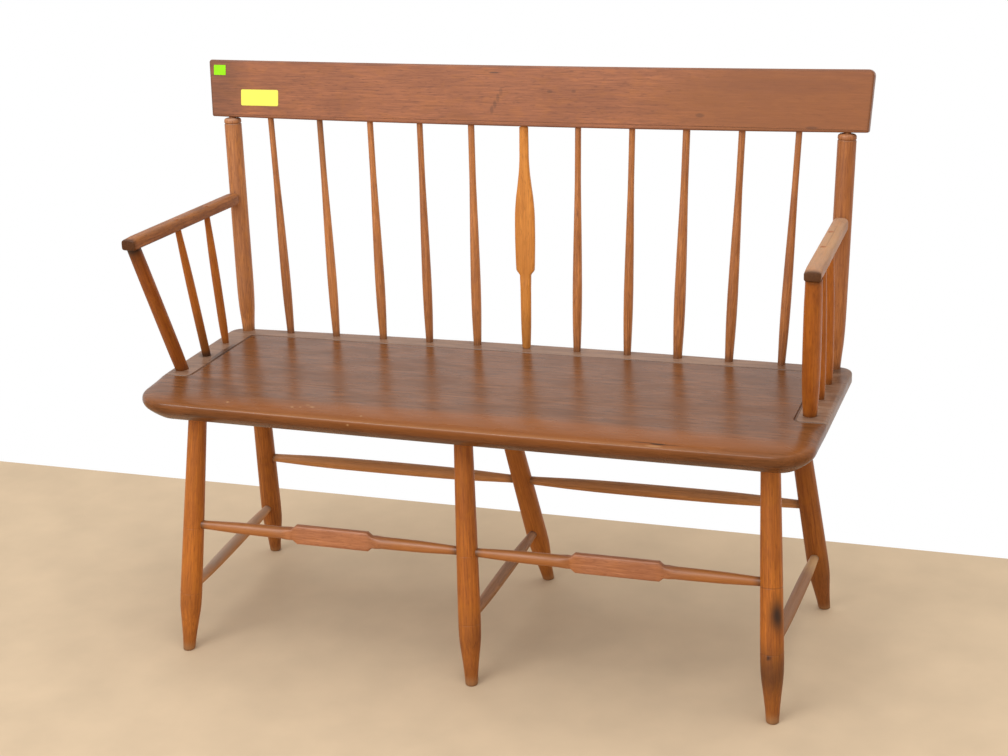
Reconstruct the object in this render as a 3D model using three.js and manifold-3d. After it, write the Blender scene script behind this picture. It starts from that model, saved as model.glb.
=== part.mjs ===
import * as THREE from 'three';
import Module from 'manifold-3d';

const wasm = await Module();
wasm.setup();

// Deacons bench. Millimetres, +Z up, front towards -Y, floor at zero.
// While it is built, x is zero at the middle spindle and y is zero at the row of back spindles.
// The last step moves the middle of the whole bench to the origin.

// Seat plank. It falls a little towards the back. Its rear width leads the bench's other lengths.
const seatHeightAtSpindles = 432;
const seatFallDegrees = 2;
const seatThickness = 39;
const seatRearHalfWidth = 546;
const seatFrontTaper = 4;
const seatFrontHalfWidth = seatRearHalfWidth - seatFrontTaper;
const seatRearMiddleReach = 22;
const seatRearEndReach = 10;
const seatFrontReachLeft = 388;
const seatFrontSkew = 16;
const seatFrontReachRight = seatFrontReachLeft + seatFrontSkew;
const seatFrontBow = 3;
const seatFrontCornerLeft = 67;
const seatFrontCornerRight = 56;
const seatRearCorner = 24;
const seatEdgeRounding = 5;
const seatEndUndercut = 20;
const seatFrontRoll = 58;
const seatFrontUndercut = 26;
const rollFromFront = 130;
const rollGrowth = 85;

// Scored line on the seat that sets off the border of the posts and spindles.
const scoreWidth = 5;
const scoreDepth = 2;
const scoreFromSpindles = 27;
const scoreFromSeatEnd = 51;
const scoreHalfLength = seatRearHalfWidth - scoreFromSeatEnd;
const scoreCorner = 11;
const scoreFromFront = 132;
const scoreFrontReach = seatFrontReachLeft - scoreFromFront;
const scoreTurnReach = 10;
const scoreEndReach = 30;

// Legs. The middle pair leans to the left, as in the photograph.
const legHeadDepth = 17;
const legHeadHeight = seatHeightAtSpindles - legHeadDepth;
const frontHeadFromSeatEnd = 76;
const frontHeadX = seatFrontHalfWidth - frontHeadFromSeatEnd;
const frontEndSplay = 21;
const frontFootX = frontHeadX + frontEndSplay;
const frontMiddleFootX = 10;
const frontMiddleHeadX = -12;
const rearHeadFromSeatEnd = 82;
const rearHeadX = seatRearHalfWidth - rearHeadFromSeatEnd;
const rearEndSplay = 43;
const rearFootX = rearHeadX + rearEndSplay;
const rearMiddleFootX = 22;
const rearMiddleHeadX = -31;
const frontHeadFromFront = 94;
const frontHeadY = frontHeadFromFront - seatFrontReachLeft;
const frontFootReach = 83;
const frontFootY = frontHeadY - frontFootReach;
const rearHeadY = -83;
const rearFootReach = 90;
const rearFootY = rearHeadY + rearFootReach;
const legSwellDiameter = 35.6;
const legSocketDepth = 25;
const legRingDepth = 0.7;
const legRingWidth = 2.4;
const legRingBelowStretcher = 5;
const legBelowFloor = 20;
const floorBlockReach = 800;
const floorBlockHeight = 60;

// Stretchers. Heights are those of the axis.
const frontStretcherHeight = 210;
const rearStretcherHeight = 206;
const leftStretcherHeight = 101;
const middleStretcherHeight = 102;
const rightStretcherHeight = 110;
const stretcherEndDiameter = 14.2;
const rearStretcherSwell = 21.8;
const sideStretcherSwell = 19.6;
const frontStretcherSwell = 19.8;
const stretcherTenonDepth = 12;
const paddleHeight = 32.6;
const paddleThickness = 13;
const leftPaddleLength = 123;
const rightPaddleLength = 132;
const leftPaddleShift = 9.5;
const rightPaddleShift = 3;
const paddleShoulder = 7;

// Crest rail. It reaches past the seat at both ends.
const crestLeanDegrees = 11;
const crestThickness = 22;
const crestPastSeat = 16;
const crestTopHalfLength = seatRearHalfWidth + crestPastSeat;
const crestEndSlope = 5;
const crestBottomHalfLength = crestTopHalfLength - crestEndSlope;
const crestHeight = 97.5;
const crestOverSeat = 373;
const crestBottomHeight = seatHeightAtSpindles + crestOverSeat;
const crestBottomSag = 4;
const crestTopSag = 2.4;
const crestTopLeftCorner = 5;
const crestTopRightCorner = 10;
const crestBottomCorner = 3;
const crestArris = 1.4;

// Back: the two posts, the spindles and the flat arrow in the middle.
const backLean = 33;
const backHeadY = backLean;
const crestFrontFromHeads = 10.6;
const crestFrontY = backHeadY - crestFrontFromHeads;
const postFromSeatEnd = 31;
const postSeatX = seatRearHalfWidth - postFromSeatEnd;
const postFromCrestEnd = 33;
const postHeadX = crestBottomHalfLength - postFromCrestEnd;
const postDiameter = 29.6;
const postSeatDiameter = 21.4;
const postHeadTenonDiameter = 12;
const postHeadTenonDepth = 22;
const postSeatSocketDepth = 20;
const postRingBelowHead = 9;
const postRingDepth = 0.9;
const postRingWidth = 2.6;
const postShoulderHeight = 4;
const postHeadGap = 1.8;
const spindleSwells = [15.9, 16.0, 16.4, 16.0, 17.0, 16.9, 15.8, 15.7, 18.8, 17.2, 15.8];
// How far each one stands to the right of its even place.
const spindleShifts = [-0.3, 0, 1.4, 0, 0.2, 0.8, 2.6, 2.2, 0.6, -0.8, -1.8];
const middleSpindle = (spindleSwells.length - 1) / 2;
const lastSpindleFromPostAtSeat = 82;
const spindleSeatPitch = (postSeatX - lastSpindleFromPostAtSeat) / middleSpindle;
const lastSpindleFromPostAtHead = 72.5;
const spindleHeadPitch = (postHeadX - lastSpindleFromPostAtHead) / middleSpindle;
const spindleSeatSocketDepth = 18;
const spindleHeadSocketDepth = 15;
const arrowBladeWidth = 34;
const arrowBladeThickness = 10.5;
const arrowStemDiameter = 18.4;
const arrowNeckWidth = 15.2;
const arrowNeckThickness = 11;
const arrowTenonDiameter = 11;
const arrowHeadGap = 1;

// Arms with their posts and spindles. The arms rise towards the front.
const armOverSeat = 237.5;
const armRearHeight = seatHeightAtSpindles + armOverSeat;
const leftArmRise = 13.5;
const rightArmRise = 17.5;
const armRearPostGap = 0.5;
const armWidth = 24.4;
const armThickness = 19.4;
const armEndRounding = 1.8;
const armNoseLength = 24;
const armNoseDrop = 4;
const armTailLength = 14;
const armTenonDiameter = 12;
const armTenonDepth = 15;
const armPostFromSeatEnd = 24;
const armPostSeatX = seatFrontHalfWidth - armPostFromSeatEnd;
const armPostFromFront = 158.5;
const armPostSeatY = armPostFromFront - seatFrontReachLeft;
const armPostSplay = 13.5;
const armPostHeadX = armPostSeatX + armPostSplay;
const armPostRake = 92.5;
const armPostHeadY = armPostSeatY - armPostRake;
const armPostHeadBelowArm = 10.5;
const armFrontInset = 0.5;
const armFrontX = armPostHeadX - armFrontInset;
const leftArmPastPost = 18;
const rightArmPastPost = 12;
const leftArmPostSwell = 22.5;
const rightArmPostSwell = 27.2;
const leftArmPostFootShift = -6;
const rightArmPostFootShift = -5;
const leftArmHeadShift = -4;
const rightArmHeadShift = -2;
const armPostTenonDiameter = 9;
const armPostTenonRise = 1;
const armPostSeatSocketDepth = 20;
const frontArmSpindleFromSeatEnd = 22;
const frontArmSpindleSeatX = seatFrontHalfWidth - frontArmSpindleFromSeatEnd;
const frontArmSpindleFromPost = 75.5;
const frontArmSpindleSeatY = armPostSeatY + frontArmSpindleFromPost;
const frontArmSpindleSplay = 6;
const frontArmSpindleHeadX = frontArmSpindleSeatX + frontArmSpindleSplay;
const frontArmSpindleRake = 44;
const frontArmSpindleHeadY = frontArmSpindleSeatY - frontArmSpindleRake;
const rearArmSpindleFromSeatEnd = 25;
const rearArmSpindleSeatX = seatRearHalfWidth - rearArmSpindleFromSeatEnd;
const armSpindleSpacing = 73;
const rearArmSpindleSeatY = frontArmSpindleSeatY + armSpindleSpacing;
const rearArmSpindleSplay = 2;
const rearArmSpindleHeadX = rearArmSpindleSeatX + rearArmSpindleSplay;
const rearArmSpindleRake = 19;
const rearArmSpindleHeadY = rearArmSpindleSeatY - rearArmSpindleRake;
const armSpindleHeadBelowArm = 0;
const leftArmSpindleShift = 1.2;
const rightArmSpindleShift = -2.4;
const armSpindleSwell = 14.5;
const armSpindleTenonDiameter = 8.6;
const armSpindleSocketDepth = 16;

// Two paper labels stuck on the crest, measured from its left end. Their faces are blank.
const labelThickness = 0.5;
const labelCornerRadius = 2.5;
const greenLabelWidth = 22;
const greenLabelHeight = 17;
const greenLabelFromEnd = 20;
const greenLabelX = greenLabelFromEnd - crestTopHalfLength;
const greenLabelFromTop = 15;
const greenLabelRise = crestHeight - greenLabelFromTop;
const yellowLabelWidth = 69;
const yellowLabelHeight = 27;
const yellowLabelFromEnd = 94.5;
const yellowLabelX = yellowLabelFromEnd - crestTopHalfLength;
const yellowLabelFromTop = 60.5;
const yellowLabelRise = crestHeight - yellowLabelFromTop;

// Fits.
const jointClearance = 0.3;
const cutterReach = 40;

// Facets round each kind of piece.
const legSides = 16;
const postSides = 16;
const spindleSides = 12;
const bladeSides = 16;

// Straight steps along each curve.
const seatCornerSteps = 7;
const seatEdgeSteps = 8;
const seatEndSteps = 5;
const seatRearCornerSteps = 4;
const crestEdgeSteps = 8;
const crestCornerSteps = 4;
const labelCornerSteps = 3;

// Shares of a length and of the widest diameter, from the lower end up.
const legProfileShares = [
  [0, 0.55],
  [0.045, 0.62],
  [0.085, 0.715],
  [0.12, 0.81],
  [0.158, 0.915],
  [0.195, 0.98],
  [0.24, 1],
  [0.36, 0.985],
  [0.6, 0.935],
  [0.8, 0.88],
  [1, 0.83],
];
const spindleProfileShares = [
  [0, 0.78],
  [0.05, 0.84],
  [0.11, 0.92],
  [0.18, 0.98],
  [0.27, 1],
  [0.36, 0.96],
  [0.46, 0.9],
  [0.56, 0.82],
  [0.66, 0.73],
  [0.78, 0.65],
  [1, 0.635],
];
const armSpindleProfileShares = [
  [0, 0.76],
  [0.08, 0.92],
  [0.2, 1],
  [0.45, 1],
  [0.62, 0.95],
  [0.78, 0.84],
  [0.9, 0.72],
  [1, 0.66],
];
const stoutArmSpindleShares = [
  [0, 0.98],
  [0.3, 1],
  [0.5, 0.98],
  [0.62, 0.94],
  [0.78, 0.85],
  [0.9, 0.74],
  [1, 0.68],
];
const leftArmPostShares = [
  [0, 0.95],
  [0.15, 0.99],
  [0.5, 1],
  [0.85, 0.99],
  [1, 0.97],
];
const rightArmPostShares = [
  [0, 0.78],
  [0.02, 0.78],
  [0.07, 0.84],
  [0.16, 0.92],
  [0.32, 0.99],
  [0.5, 1],
  [0.8, 0.97],
  [1, 0.9],
];
const postProfileShares = [
  [0, 0],
  [0.05, 0.25],
  [0.12, 0.74],
  [0.2, 0.96],
  [0.28, 1],
];
const sweptStretcherShares = [
  [0, 0],
  [0.06, 0.2],
  [0.16, 0.62],
  [0.3, 0.92],
  [0.5, 1],
  [0.7, 0.92],
  [0.84, 0.62],
  [0.94, 0.2],
  [1, 0],
];
const frontShaftShares = [
  [0, 0],
  [0.16, 0.3],
  [0.42, 0.8],
  [0.84, 1],
];
const paddleShoulderShares = [
  [0, 1, 1],
  [0.5, 1, 0.8],
  [1, 1, 0.62],
  [1.2, 1.15, 0.6],
];
const arrowStemShares = [
  [0.004, 0.76, 0.72],
  [0.05, 0.86, 0.76],
  [0.13, 0.95, 0.8],
  [0.27, 1, 0.72],
];
const arrowNeckShares = [
  [0.82, 1.12],
  [0.88, 1],
];
const postShoulderShares = [
  [1, 0.985],
  [0.35, 0.9],
  [0, 0.74],
];
const armEndShares = [
  [0, 1],
  [0.4, 0.35],
  [1, 0],
];
const armTailShares = [
  [0, 1, 1],
  [0.45, 0.96, 0.97],
  [0.75, 0.87, 0.88],
  [0.92, 0.72, 0.76],
  [1, 0.54, 0.67],
];
const scoreBendShares = [
  [1, 1],
  [0.3, 0.7],
  [0, 0],
];
const scoreCornerBendShare = 0.3;
const bladeProfileShares = [
  [0.36, 0.91],
  [0.42, 0.965],
  [0.52, 1],
  [0.6, 0.985],
  [0.68, 0.86],
  [0.74, 0.68],
];
const arrowShoulderShare = 0.335;
const arrowShoulderMiddleShare = 0.35;
// Sections of the seat's edge: shares of the rounding, of the undercut and of the thickness.
const seatFrontSectionShares = [
  [1, 0, 0],
  [0.62, 0, 0.02],
  [0.34, 0, 0.055],
  [0.15, 0, 0.1],
  [0.055, 0, 0.15],
  [0.012, 0, 0.225],
  [0, 0, 0.35],
  [0, 0.1, 0.53],
  [0, 0.36, 0.7],
  [0, 0.68, 0.86],
  [0, 1, 1],
];
const seatSideSectionShares = [
  [1, 0, 0],
  [0.62, 0, 0.012],
  [0.32, 0, 0.036],
  [0.1, 0, 0.078],
  [0, 0, 0.13],
  [0, 0, 0.28],
  [0, 0, 0.42],
  [0, 0.12, 0.55],
  [0, 0.34, 0.7],
  [0, 0.66, 0.86],
  [0, 1, 1],
];
const rollAtCornerShare = 0.84;
const rollSpreadReach = 60;
const roundExponent = 2;
const armExponent = 2.9;
const armUndersideExponent = 6;
const bladeExponent = 4.4;

// Colours read from the photograph.
const seatColour = 0x9a6748;
const crestColour = 0xa5694a;
const frontLegColour = 0xa05d28;
const rearLegColour = 0x7b431f;
const spindleColour = 0xa56637;
const arrowColour = 0xcf8647;
const postColour = 0xa8652f;
const armColour = 0xa8714b;
const armPostColour = 0x96541f;
const paddleColour = 0xb2764a;
const rearStretcherColour = 0x8a5530;
const greenLabelColour = 0x3fcf4e;
const yellowLabelColour = 0xf1ec3a;
const woodRoughness = 0.42;
const seatRoughness = 0.3;
const labelRoughness = 0.7;
const nonMetal = 0;

const seatFall = THREE.MathUtils.degToRad(seatFallDegrees);
const crestLean = THREE.MathUtils.degToRad(crestLeanDegrees);
const seatUp = new THREE.Vector3(0, Math.sin(seatFall), Math.cos(seatFall));
const seatPoint = new THREE.Vector3(0, 0, seatHeightAtSpindles);
const crestUp = new THREE.Vector3(0, Math.sin(crestLean), Math.cos(crestLean));
const crestBack = new THREE.Vector3(0, Math.cos(crestLean), -Math.sin(crestLean));
const crestCorner = new THREE.Vector3(0, crestFrontY, crestBottomHeight);

function solidToManifold(geometry) {
  const mesh = new wasm.Mesh({
    numProp: 3,
    vertProperties: new Float32Array(geometry.attributes.position.array),
    triVerts: new Uint32Array(geometry.index.array),
  });
  return new wasm.Manifold(mesh);
}

function manifoldToSolid(manifold) {
  const mesh = manifold.getMesh();
  const geometry = new THREE.BufferGeometry();
  const positions = new Float32Array(mesh.vertProperties);
  geometry.setAttribute('position', new THREE.BufferAttribute(positions, 3));
  geometry.setIndex(new THREE.BufferAttribute(new Uint32Array(mesh.triVerts), 1));
  return geometry;
}

function cutAway(geometry, cutters) {
  let body = solidToManifold(geometry);
  for (const cutter of cutters) {
    body = body.subtract(solidToManifold(cutter));
  }
  return manifoldToSolid(body);
}

function joined(geometry, other) {
  return manifoldToSolid(solidToManifold(geometry).add(solidToManifold(other)));
}

function geometryFrom(positions, faces) {
  const geometry = new THREE.BufferGeometry();
  geometry.setAttribute('position', new THREE.BufferAttribute(new Float32Array(positions), 3));
  geometry.setIndex(faces);
  return geometry;
}

// Directions for a piece that runs from start to end. Its "across" stays as near +X as it can.
function axisFrame(start, end) {
  const along = end.clone().sub(start).normalize();
  const guide = Math.abs(along.x) > Math.SQRT1_2 ? new THREE.Vector3(0, -1, 0) : new THREE.Vector3(1, 0, 0);
  const across = guide.sub(along.clone().multiplyScalar(guide.dot(along))).normalize();
  const up = along.clone().cross(across);
  return { start: start.clone(), length: start.distanceTo(end), along, across, up };
}

// Closed solid made of rings. A station is its place along the axis, half width, half height and
// the exponent of its outline, where two is an ellipse and more is squarer. A last number is the
// exponent of the half on the "up" side, where that differs.
function ringSolid(frame, stations, sides) {
  const positions = [];
  const faces = [];
  for (const [place, halfAcross, halfUp, exponent, upExponent = exponent] of stations) {
    const centre = frame.start.clone().addScaledVector(frame.along, place);
    for (let side = 0; side < sides; side += 1) {
      const angle = (side / sides) * Math.PI * 2;
      const cosine = Math.cos(angle);
      const sine = Math.sin(angle);
      const power = 2 / (sine > 0 ? upExponent : exponent);
      const across = halfAcross * Math.sign(cosine) * Math.abs(cosine) ** power;
      const up = halfUp * Math.sign(sine) * Math.abs(sine) ** power;
      const point = centre.clone().addScaledVector(frame.across, across).addScaledVector(frame.up, up);
      positions.push(point.x, point.y, point.z);
    }
  }
  for (let ring = 0; ring + 1 < stations.length; ring += 1) {
    for (let side = 0; side < sides; side += 1) {
      const next = (side + 1) % sides;
      const a = ring * sides + side;
      const b = ring * sides + next;
      const c = (ring + 1) * sides + next;
      const d = (ring + 1) * sides + side;
      faces.push(a, b, c, a, c, d);
    }
  }
  const last = (stations.length - 1) * sides;
  for (let side = 1; side + 1 < sides; side += 1) {
    faces.push(0, side + 1, side);
    faces.push(last, last + side, last + side + 1);
  }
  return geometryFrom(positions, faces);
}

function roundStation(place, diameter) {
  return [place, diameter / 2, diameter / 2, roundExponent];
}

// Round hole for the end of a piece: the same facets, a clearance wider and deeper.
function socketFor(frame, from, to, diameter, sides) {
  const wide = diameter + jointClearance * 2;
  return ringSolid(frame, [roundStation(from, wide), roundStation(to, wide)], sides);
}

// Where the line through start and end lies a given depth below the top of the seat.
function placeBelowSeat(start, end, depth) {
  const along = end.clone().sub(start).normalize();
  const level = seatPoint.clone().addScaledVector(seatUp, -depth);
  const rise = level.sub(start).dot(seatUp) / along.dot(seatUp);
  return start.clone().addScaledVector(along, rise);
}

function crestBottomRise(x) {
  return crestBottomSag * (x / crestBottomHalfLength) ** 2;
}

// Where the line through start and end meets the underside of the crest.
function placeUnderCrest(start, end) {
  const along = end.clone().sub(start).normalize();
  const level = crestCorner.clone().addScaledVector(crestUp, crestBottomRise(end.x));
  const rise = level.sub(start).dot(crestUp) / along.dot(crestUp);
  return start.clone().addScaledVector(along, rise);
}

function pointAtHeight(start, end, height) {
  const share = (height - start.z) / (end.z - start.z);
  return start.clone().lerp(end, share);
}

// Ends of a rod between two round legs or posts, a tenon's depth inside each.
function tenonEnd(axisPoint, towards, hostRadius, depth) {
  const along = towards.clone().sub(axisPoint).normalize();
  return axisPoint.clone().addScaledVector(along, hostRadius - depth);
}

// Layers of one closed outline, from the face at zero to the face at the other side.
// insets[layer][point] is how far that layer lies inside the outline, drops the same for its depth.
function layeredSolid(outline, insets, drops, place) {
  const count = outline.length;
  const positions = [];
  const faces = [];
  const flat = outline.map((point, index) => {
    const before = outline[(index + count - 1) % count];
    const after = outline[(index + 1) % count];
    const edge = after.clone().sub(before).normalize();
    return { point, inward: new THREE.Vector2(-edge.y, edge.x) };
  });
  const loops = insets.map((layer) =>
    flat.map(({ point, inward }, index) => point.clone().addScaledVector(inward, layer[index])),
  );
  loops.forEach((loop, layer) => {
    loop.forEach((point, index) => {
      const at = place(point.x, point.y, drops[layer][index]);
      positions.push(at.x, at.y, at.z);
    });
  });
  for (let layer = 0; layer + 1 < loops.length; layer += 1) {
    for (let index = 0; index < count; index += 1) {
      const next = (index + 1) % count;
      const a = layer * count + index;
      const b = layer * count + next;
      const c = (layer + 1) * count + next;
      const d = (layer + 1) * count + index;
      faces.push(a, c, b, a, d, c);
    }
  }
  const bottom = (loops.length - 1) * count;
  for (const [a, b, c] of THREE.ShapeUtils.triangulateShape(loops[0], [])) {
    faces.push(a, b, c);
  }
  for (const [a, b, c] of THREE.ShapeUtils.triangulateShape(loops[loops.length - 1], [])) {
    faces.push(bottom + a, bottom + c, bottom + b);
  }
  return geometryFrom(positions, faces);
}

// Points of an arc without its first one.
function arcPoints(centreX, centreY, radius, fromDegrees, toDegrees, steps) {
  const points = [];
  for (let step = 1; step <= steps; step += 1) {
    const degrees = THREE.MathUtils.lerp(fromDegrees, toDegrees, step / steps);
    const angle = THREE.MathUtils.degToRad(degrees);
    points.push(new THREE.Vector2(centreX + radius * Math.cos(angle), centreY + radius * Math.sin(angle)));
  }
  return points;
}

function seatPlace(x, y, depth) {
  const acrossSeat = new THREE.Vector3(0, Math.cos(seatFall), -Math.sin(seatFall));
  const point = seatPoint.clone().addScaledVector(acrossSeat, y).addScaledVector(seatUp, -depth);
  point.x = x;
  return point;
}

// Points along one end of the seat, from its front corner back to where the roll starts.
function endPoints(frontX, fromY, toY) {
  const points = [];
  for (let step = 0; step <= seatEndSteps; step += 1) {
    const y = THREE.MathUtils.lerp(fromY, toY, step / seatEndSteps);
    const back = (y - fromY) / (seatRearEndReach - seatRearCorner - fromY);
    points.push(new THREE.Vector2(frontX + Math.sign(frontX) * seatFrontTaper * back, y));
  }
  return points;
}

function seatOutline() {
  const leftX = seatFrontCornerLeft - seatFrontHalfWidth;
  const leftY = seatFrontCornerLeft - seatFrontReachLeft;
  const rightX = seatFrontHalfWidth - seatFrontCornerRight;
  const rightY = seatFrontCornerRight - seatFrontReachRight;
  const rearX = seatRearHalfWidth - seatRearCorner;
  const rearY = seatRearEndReach - seatRearCorner;
  const rollY = rollFromFront - seatFrontReachLeft;
  const points = [new THREE.Vector2(-seatFrontHalfWidth, leftY)];
  points.push(...arcPoints(leftX, leftY, seatFrontCornerLeft, 180, 270, seatCornerSteps));
  for (let step = 1; step <= seatEdgeSteps; step += 1) {
    const share = step / seatEdgeSteps;
    const x = THREE.MathUtils.lerp(leftX, rightX, share);
    const reach = THREE.MathUtils.lerp(seatFrontReachLeft, seatFrontReachRight, share);
    points.push(new THREE.Vector2(x, -reach - seatFrontBow * Math.sin(Math.PI * share)));
  }
  points.push(...arcPoints(rightX, rightY, seatFrontCornerRight, 270, 360, seatCornerSteps));
  points.push(...endPoints(seatFrontHalfWidth, rightY, rollY).slice(1));
  points.push(new THREE.Vector2(seatRearHalfWidth, rearY));
  points.push(...arcPoints(rearX, rearY, seatRearCorner, 0, 90, seatRearCornerSteps));
  for (let step = 1; step < seatEdgeSteps; step += 1) {
    const share = step / seatEdgeSteps;
    const x = THREE.MathUtils.lerp(rearX, -rearX, share);
    const bow = (seatRearMiddleReach - seatRearEndReach) * Math.sin(Math.PI * share);
    points.push(new THREE.Vector2(x, seatRearEndReach + bow));
  }
  points.push(new THREE.Vector2(-rearX, seatRearEndReach));
  points.push(...arcPoints(-rearX, rearY, seatRearCorner, 90, 180, seatRearCornerSteps));
  points.push(...endPoints(-seatFrontHalfWidth, leftY, rollY).reverse().slice(0, -1));
  return points;
}

// How much of the front roll a point of the outline has: none beside the posts, all of it in front.
function rollShare(point) {
  const corner = point.x < 0 ? seatFrontCornerLeft : seatFrontCornerRight;
  const start = seatFrontReachLeft - rollFromFront;
  const grown = THREE.MathUtils.smoothstep(-point.y, start, start + rollGrowth);
  const inside = seatFrontHalfWidth - corner - Math.abs(point.x);
  const spread = THREE.MathUtils.smoothstep(inside, 0, rollSpreadReach);
  return grown * THREE.MathUtils.lerp(rollAtCornerShare, 1, spread);
}

// The underside is cut back along the ends and the front, and left square behind the spindles.
function undercutShare(point) {
  return 1 - THREE.MathUtils.smoothstep(point.y, seatRearEndReach - seatRearCorner, seatRearEndReach);
}

function seatPlank() {
  const outline = seatOutline();
  const rolls = outline.map(rollShare);
  const undercuts = outline.map(undercutShare);
  const insets = seatFrontSectionShares.map(([frontOver, frontUnder], layer) => {
    const [over, under] = seatSideSectionShares[layer];
    return rolls.map((roll, index) => {
      const side = over * seatEdgeRounding + under * seatEndUndercut * undercuts[index];
      const front = frontOver * seatFrontRoll + frontUnder * seatFrontUndercut;
      return THREE.MathUtils.lerp(side, front, roll);
    });
  });
  const drops = seatFrontSectionShares.map(([, , front], layer) => {
    const side = seatSideSectionShares[layer][2];
    return rolls.map((roll) => THREE.MathUtils.lerp(side, front, roll) * seatThickness);
  });
  return layeredSolid(outline, insets, drops, seatPlace);
}

// Bar that cuts the scored line: a ribbon along its path, from below the seat's top to above it.
function scoreCutter() {
  const side = scoreHalfLength;
  const rear = -scoreFromSpindles;
  const front = -scoreFrontReach;
  const bends = scoreBendShares.map(([out, forward]) => [
    side + out * scoreTurnReach,
    front - forward * scoreTurnReach,
  ]);
  const corner = scoreCorner * scoreCornerBendShare;
  const half = [
    [side + scoreEndReach * 2, front - scoreTurnReach],
    [side + scoreEndReach, front - scoreTurnReach],
    ...bends,
    [side, rear - scoreCorner],
    [side - corner, rear - corner],
    [side - scoreCorner, rear],
  ];
  const right = half.map(([x, y]) => new THREE.Vector2(x, y));
  const left = half.map(([x, y]) => new THREE.Vector2(-x, y)).reverse();
  const path = [...right, ...left];
  const inner = [];
  const outer = [];
  path.forEach((point, index) => {
    const before = path[Math.max(index - 1, 0)];
    const after = path[Math.min(index + 1, path.length - 1)];
    const edge = after.clone().sub(before).normalize();
    const normal = new THREE.Vector2(-edge.y, edge.x).multiplyScalar(scoreWidth / 2);
    inner.push(point.clone().add(normal));
    outer.push(point.clone().sub(normal));
  });
  const outline = [...outer, ...inner.reverse()];
  const flat = outline.map(() => 0);
  const above = outline.map(() => -scoreDepth);
  const below = outline.map(() => scoreDepth);
  return layeredSolid(outline, [flat, flat], [above, below], seatPlace);
}

const parts = {};
const colours = {};

function addPart(name, geometry, colour, roughness) {
  parts[name] = geometry;
  colours[name] = { colour, roughness };
}

// Legs: a foot on the floor, a head that gives the direction, and sockets for stretchers.
function legAxis(footX, footY, headX, headY) {
  const foot = new THREE.Vector3(footX, footY, 0);
  const head = new THREE.Vector3(headX, headY, legHeadHeight);
  const top = placeBelowSeat(foot, head, seatThickness - legSocketDepth);
  const underside = placeBelowSeat(foot, head, seatThickness);
  return { foot, top, underside };
}

const legAxes = {
  leg_front_left: legAxis(-frontFootX, frontFootY, -frontHeadX, frontHeadY),
  leg_front_middle: legAxis(frontMiddleFootX, frontFootY, frontMiddleHeadX, frontHeadY),
  leg_front_right: legAxis(frontFootX, frontFootY, frontHeadX, frontHeadY),
  leg_rear_left: legAxis(-rearFootX, rearFootY, -rearHeadX, rearHeadY),
  leg_rear_middle: legAxis(rearMiddleFootX, rearFootY, rearMiddleHeadX, rearHeadY),
  leg_rear_right: legAxis(rearFootX, rearFootY, rearHeadX, rearHeadY),
};

function diameterAt(profile, share, widest) {
  for (let index = 1; index < profile.length; index += 1) {
    const [toShare, toWidth] = profile[index];
    const [fromShare, fromWidth] = profile[index - 1];
    if (share <= toShare) {
      const along = (share - fromShare) / (toShare - fromShare);
      return THREE.MathUtils.lerp(fromWidth, toWidth, along) * widest;
    }
  }
  return profile[profile.length - 1][1] * widest;
}

// A ring was scored round each leg, just under the middle of every stretcher that goes into it.
function ringHeights(name) {
  const stretchers = Object.values(stretcherPlaces).filter(([from, to]) => from === name || to === name);
  return new Set(stretchers.map(([, , height]) => height - legRingBelowStretcher));
}

function legSolid(name) {
  const axis = legAxes[name];
  const visible = axis.foot.distanceTo(axis.underside);
  const start = axis.foot.clone().addScaledVector(
    axis.foot.clone().sub(axis.underside).normalize(),
    legBelowFloor,
  );
  const frame = axisFrame(start, axis.top);
  const stations = legProfileShares.map(([share, width]) => [share, width * legSwellDiameter]);
  for (const height of ringHeights(name)) {
    const ring = height / axis.underside.z;
    const width = diameterAt(legProfileShares, ring, legSwellDiameter);
    const half = legRingWidth / 2 / visible;
    stations.push([ring - half, width], [ring, width - legRingDepth * 2], [ring + half, width]);
  }
  stations.sort((a, b) => a[0] - b[0]);
  const footWidth = legProfileShares[0][1] * legSwellDiameter;
  const headWidth = legProfileShares[legProfileShares.length - 1][1] * legSwellDiameter;
  const rings = [
    roundStation(0, footWidth),
    ...stations.map(([share, width]) => roundStation(legBelowFloor + share * visible, width)),
    roundStation(frame.length, headWidth),
  ];
  return ringSolid(frame, rings, legSides);
}

function legSeatSocket(axis) {
  const frame = axisFrame(axis.foot, axis.top);
  const headWidth = legProfileShares[legProfileShares.length - 1][1] * legSwellDiameter;
  const from = frame.length - legSocketDepth - cutterReach;
  return socketFor(frame, from, frame.length + jointClearance, headWidth, legSides);
}

// Six-sided block along three directions, each with the reach it starts and ends at.
function blockSolid(start, directions, reaches) {
  const positions = [];
  for (const x of reaches[0]) {
    for (const y of reaches[1]) {
      for (const z of reaches[2]) {
        const corner = start.clone().addScaledVector(directions[0], x);
        corner.addScaledVector(directions[1], y).addScaledVector(directions[2], z);
        positions.push(corner.x, corner.y, corner.z);
      }
    }
  }
  const faces = [
    [0, 1, 3, 2], [4, 6, 7, 5], [0, 4, 5, 1], [2, 3, 7, 6], [0, 2, 6, 4], [1, 5, 7, 3],
  ];
  return geometryFrom(positions, faces.flatMap(([a, b, c, d]) => [a, b, c, a, c, d]));
}

function floorBlock() {
  const directions = [new THREE.Vector3(1, 0, 0), new THREE.Vector3(0, 1, 0), new THREE.Vector3(0, 0, 1)];
  const sideways = [-floorBlockReach, floorBlockReach];
  return blockSolid(new THREE.Vector3(), directions, [sideways, sideways, [-floorBlockHeight, 0]]);
}

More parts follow.
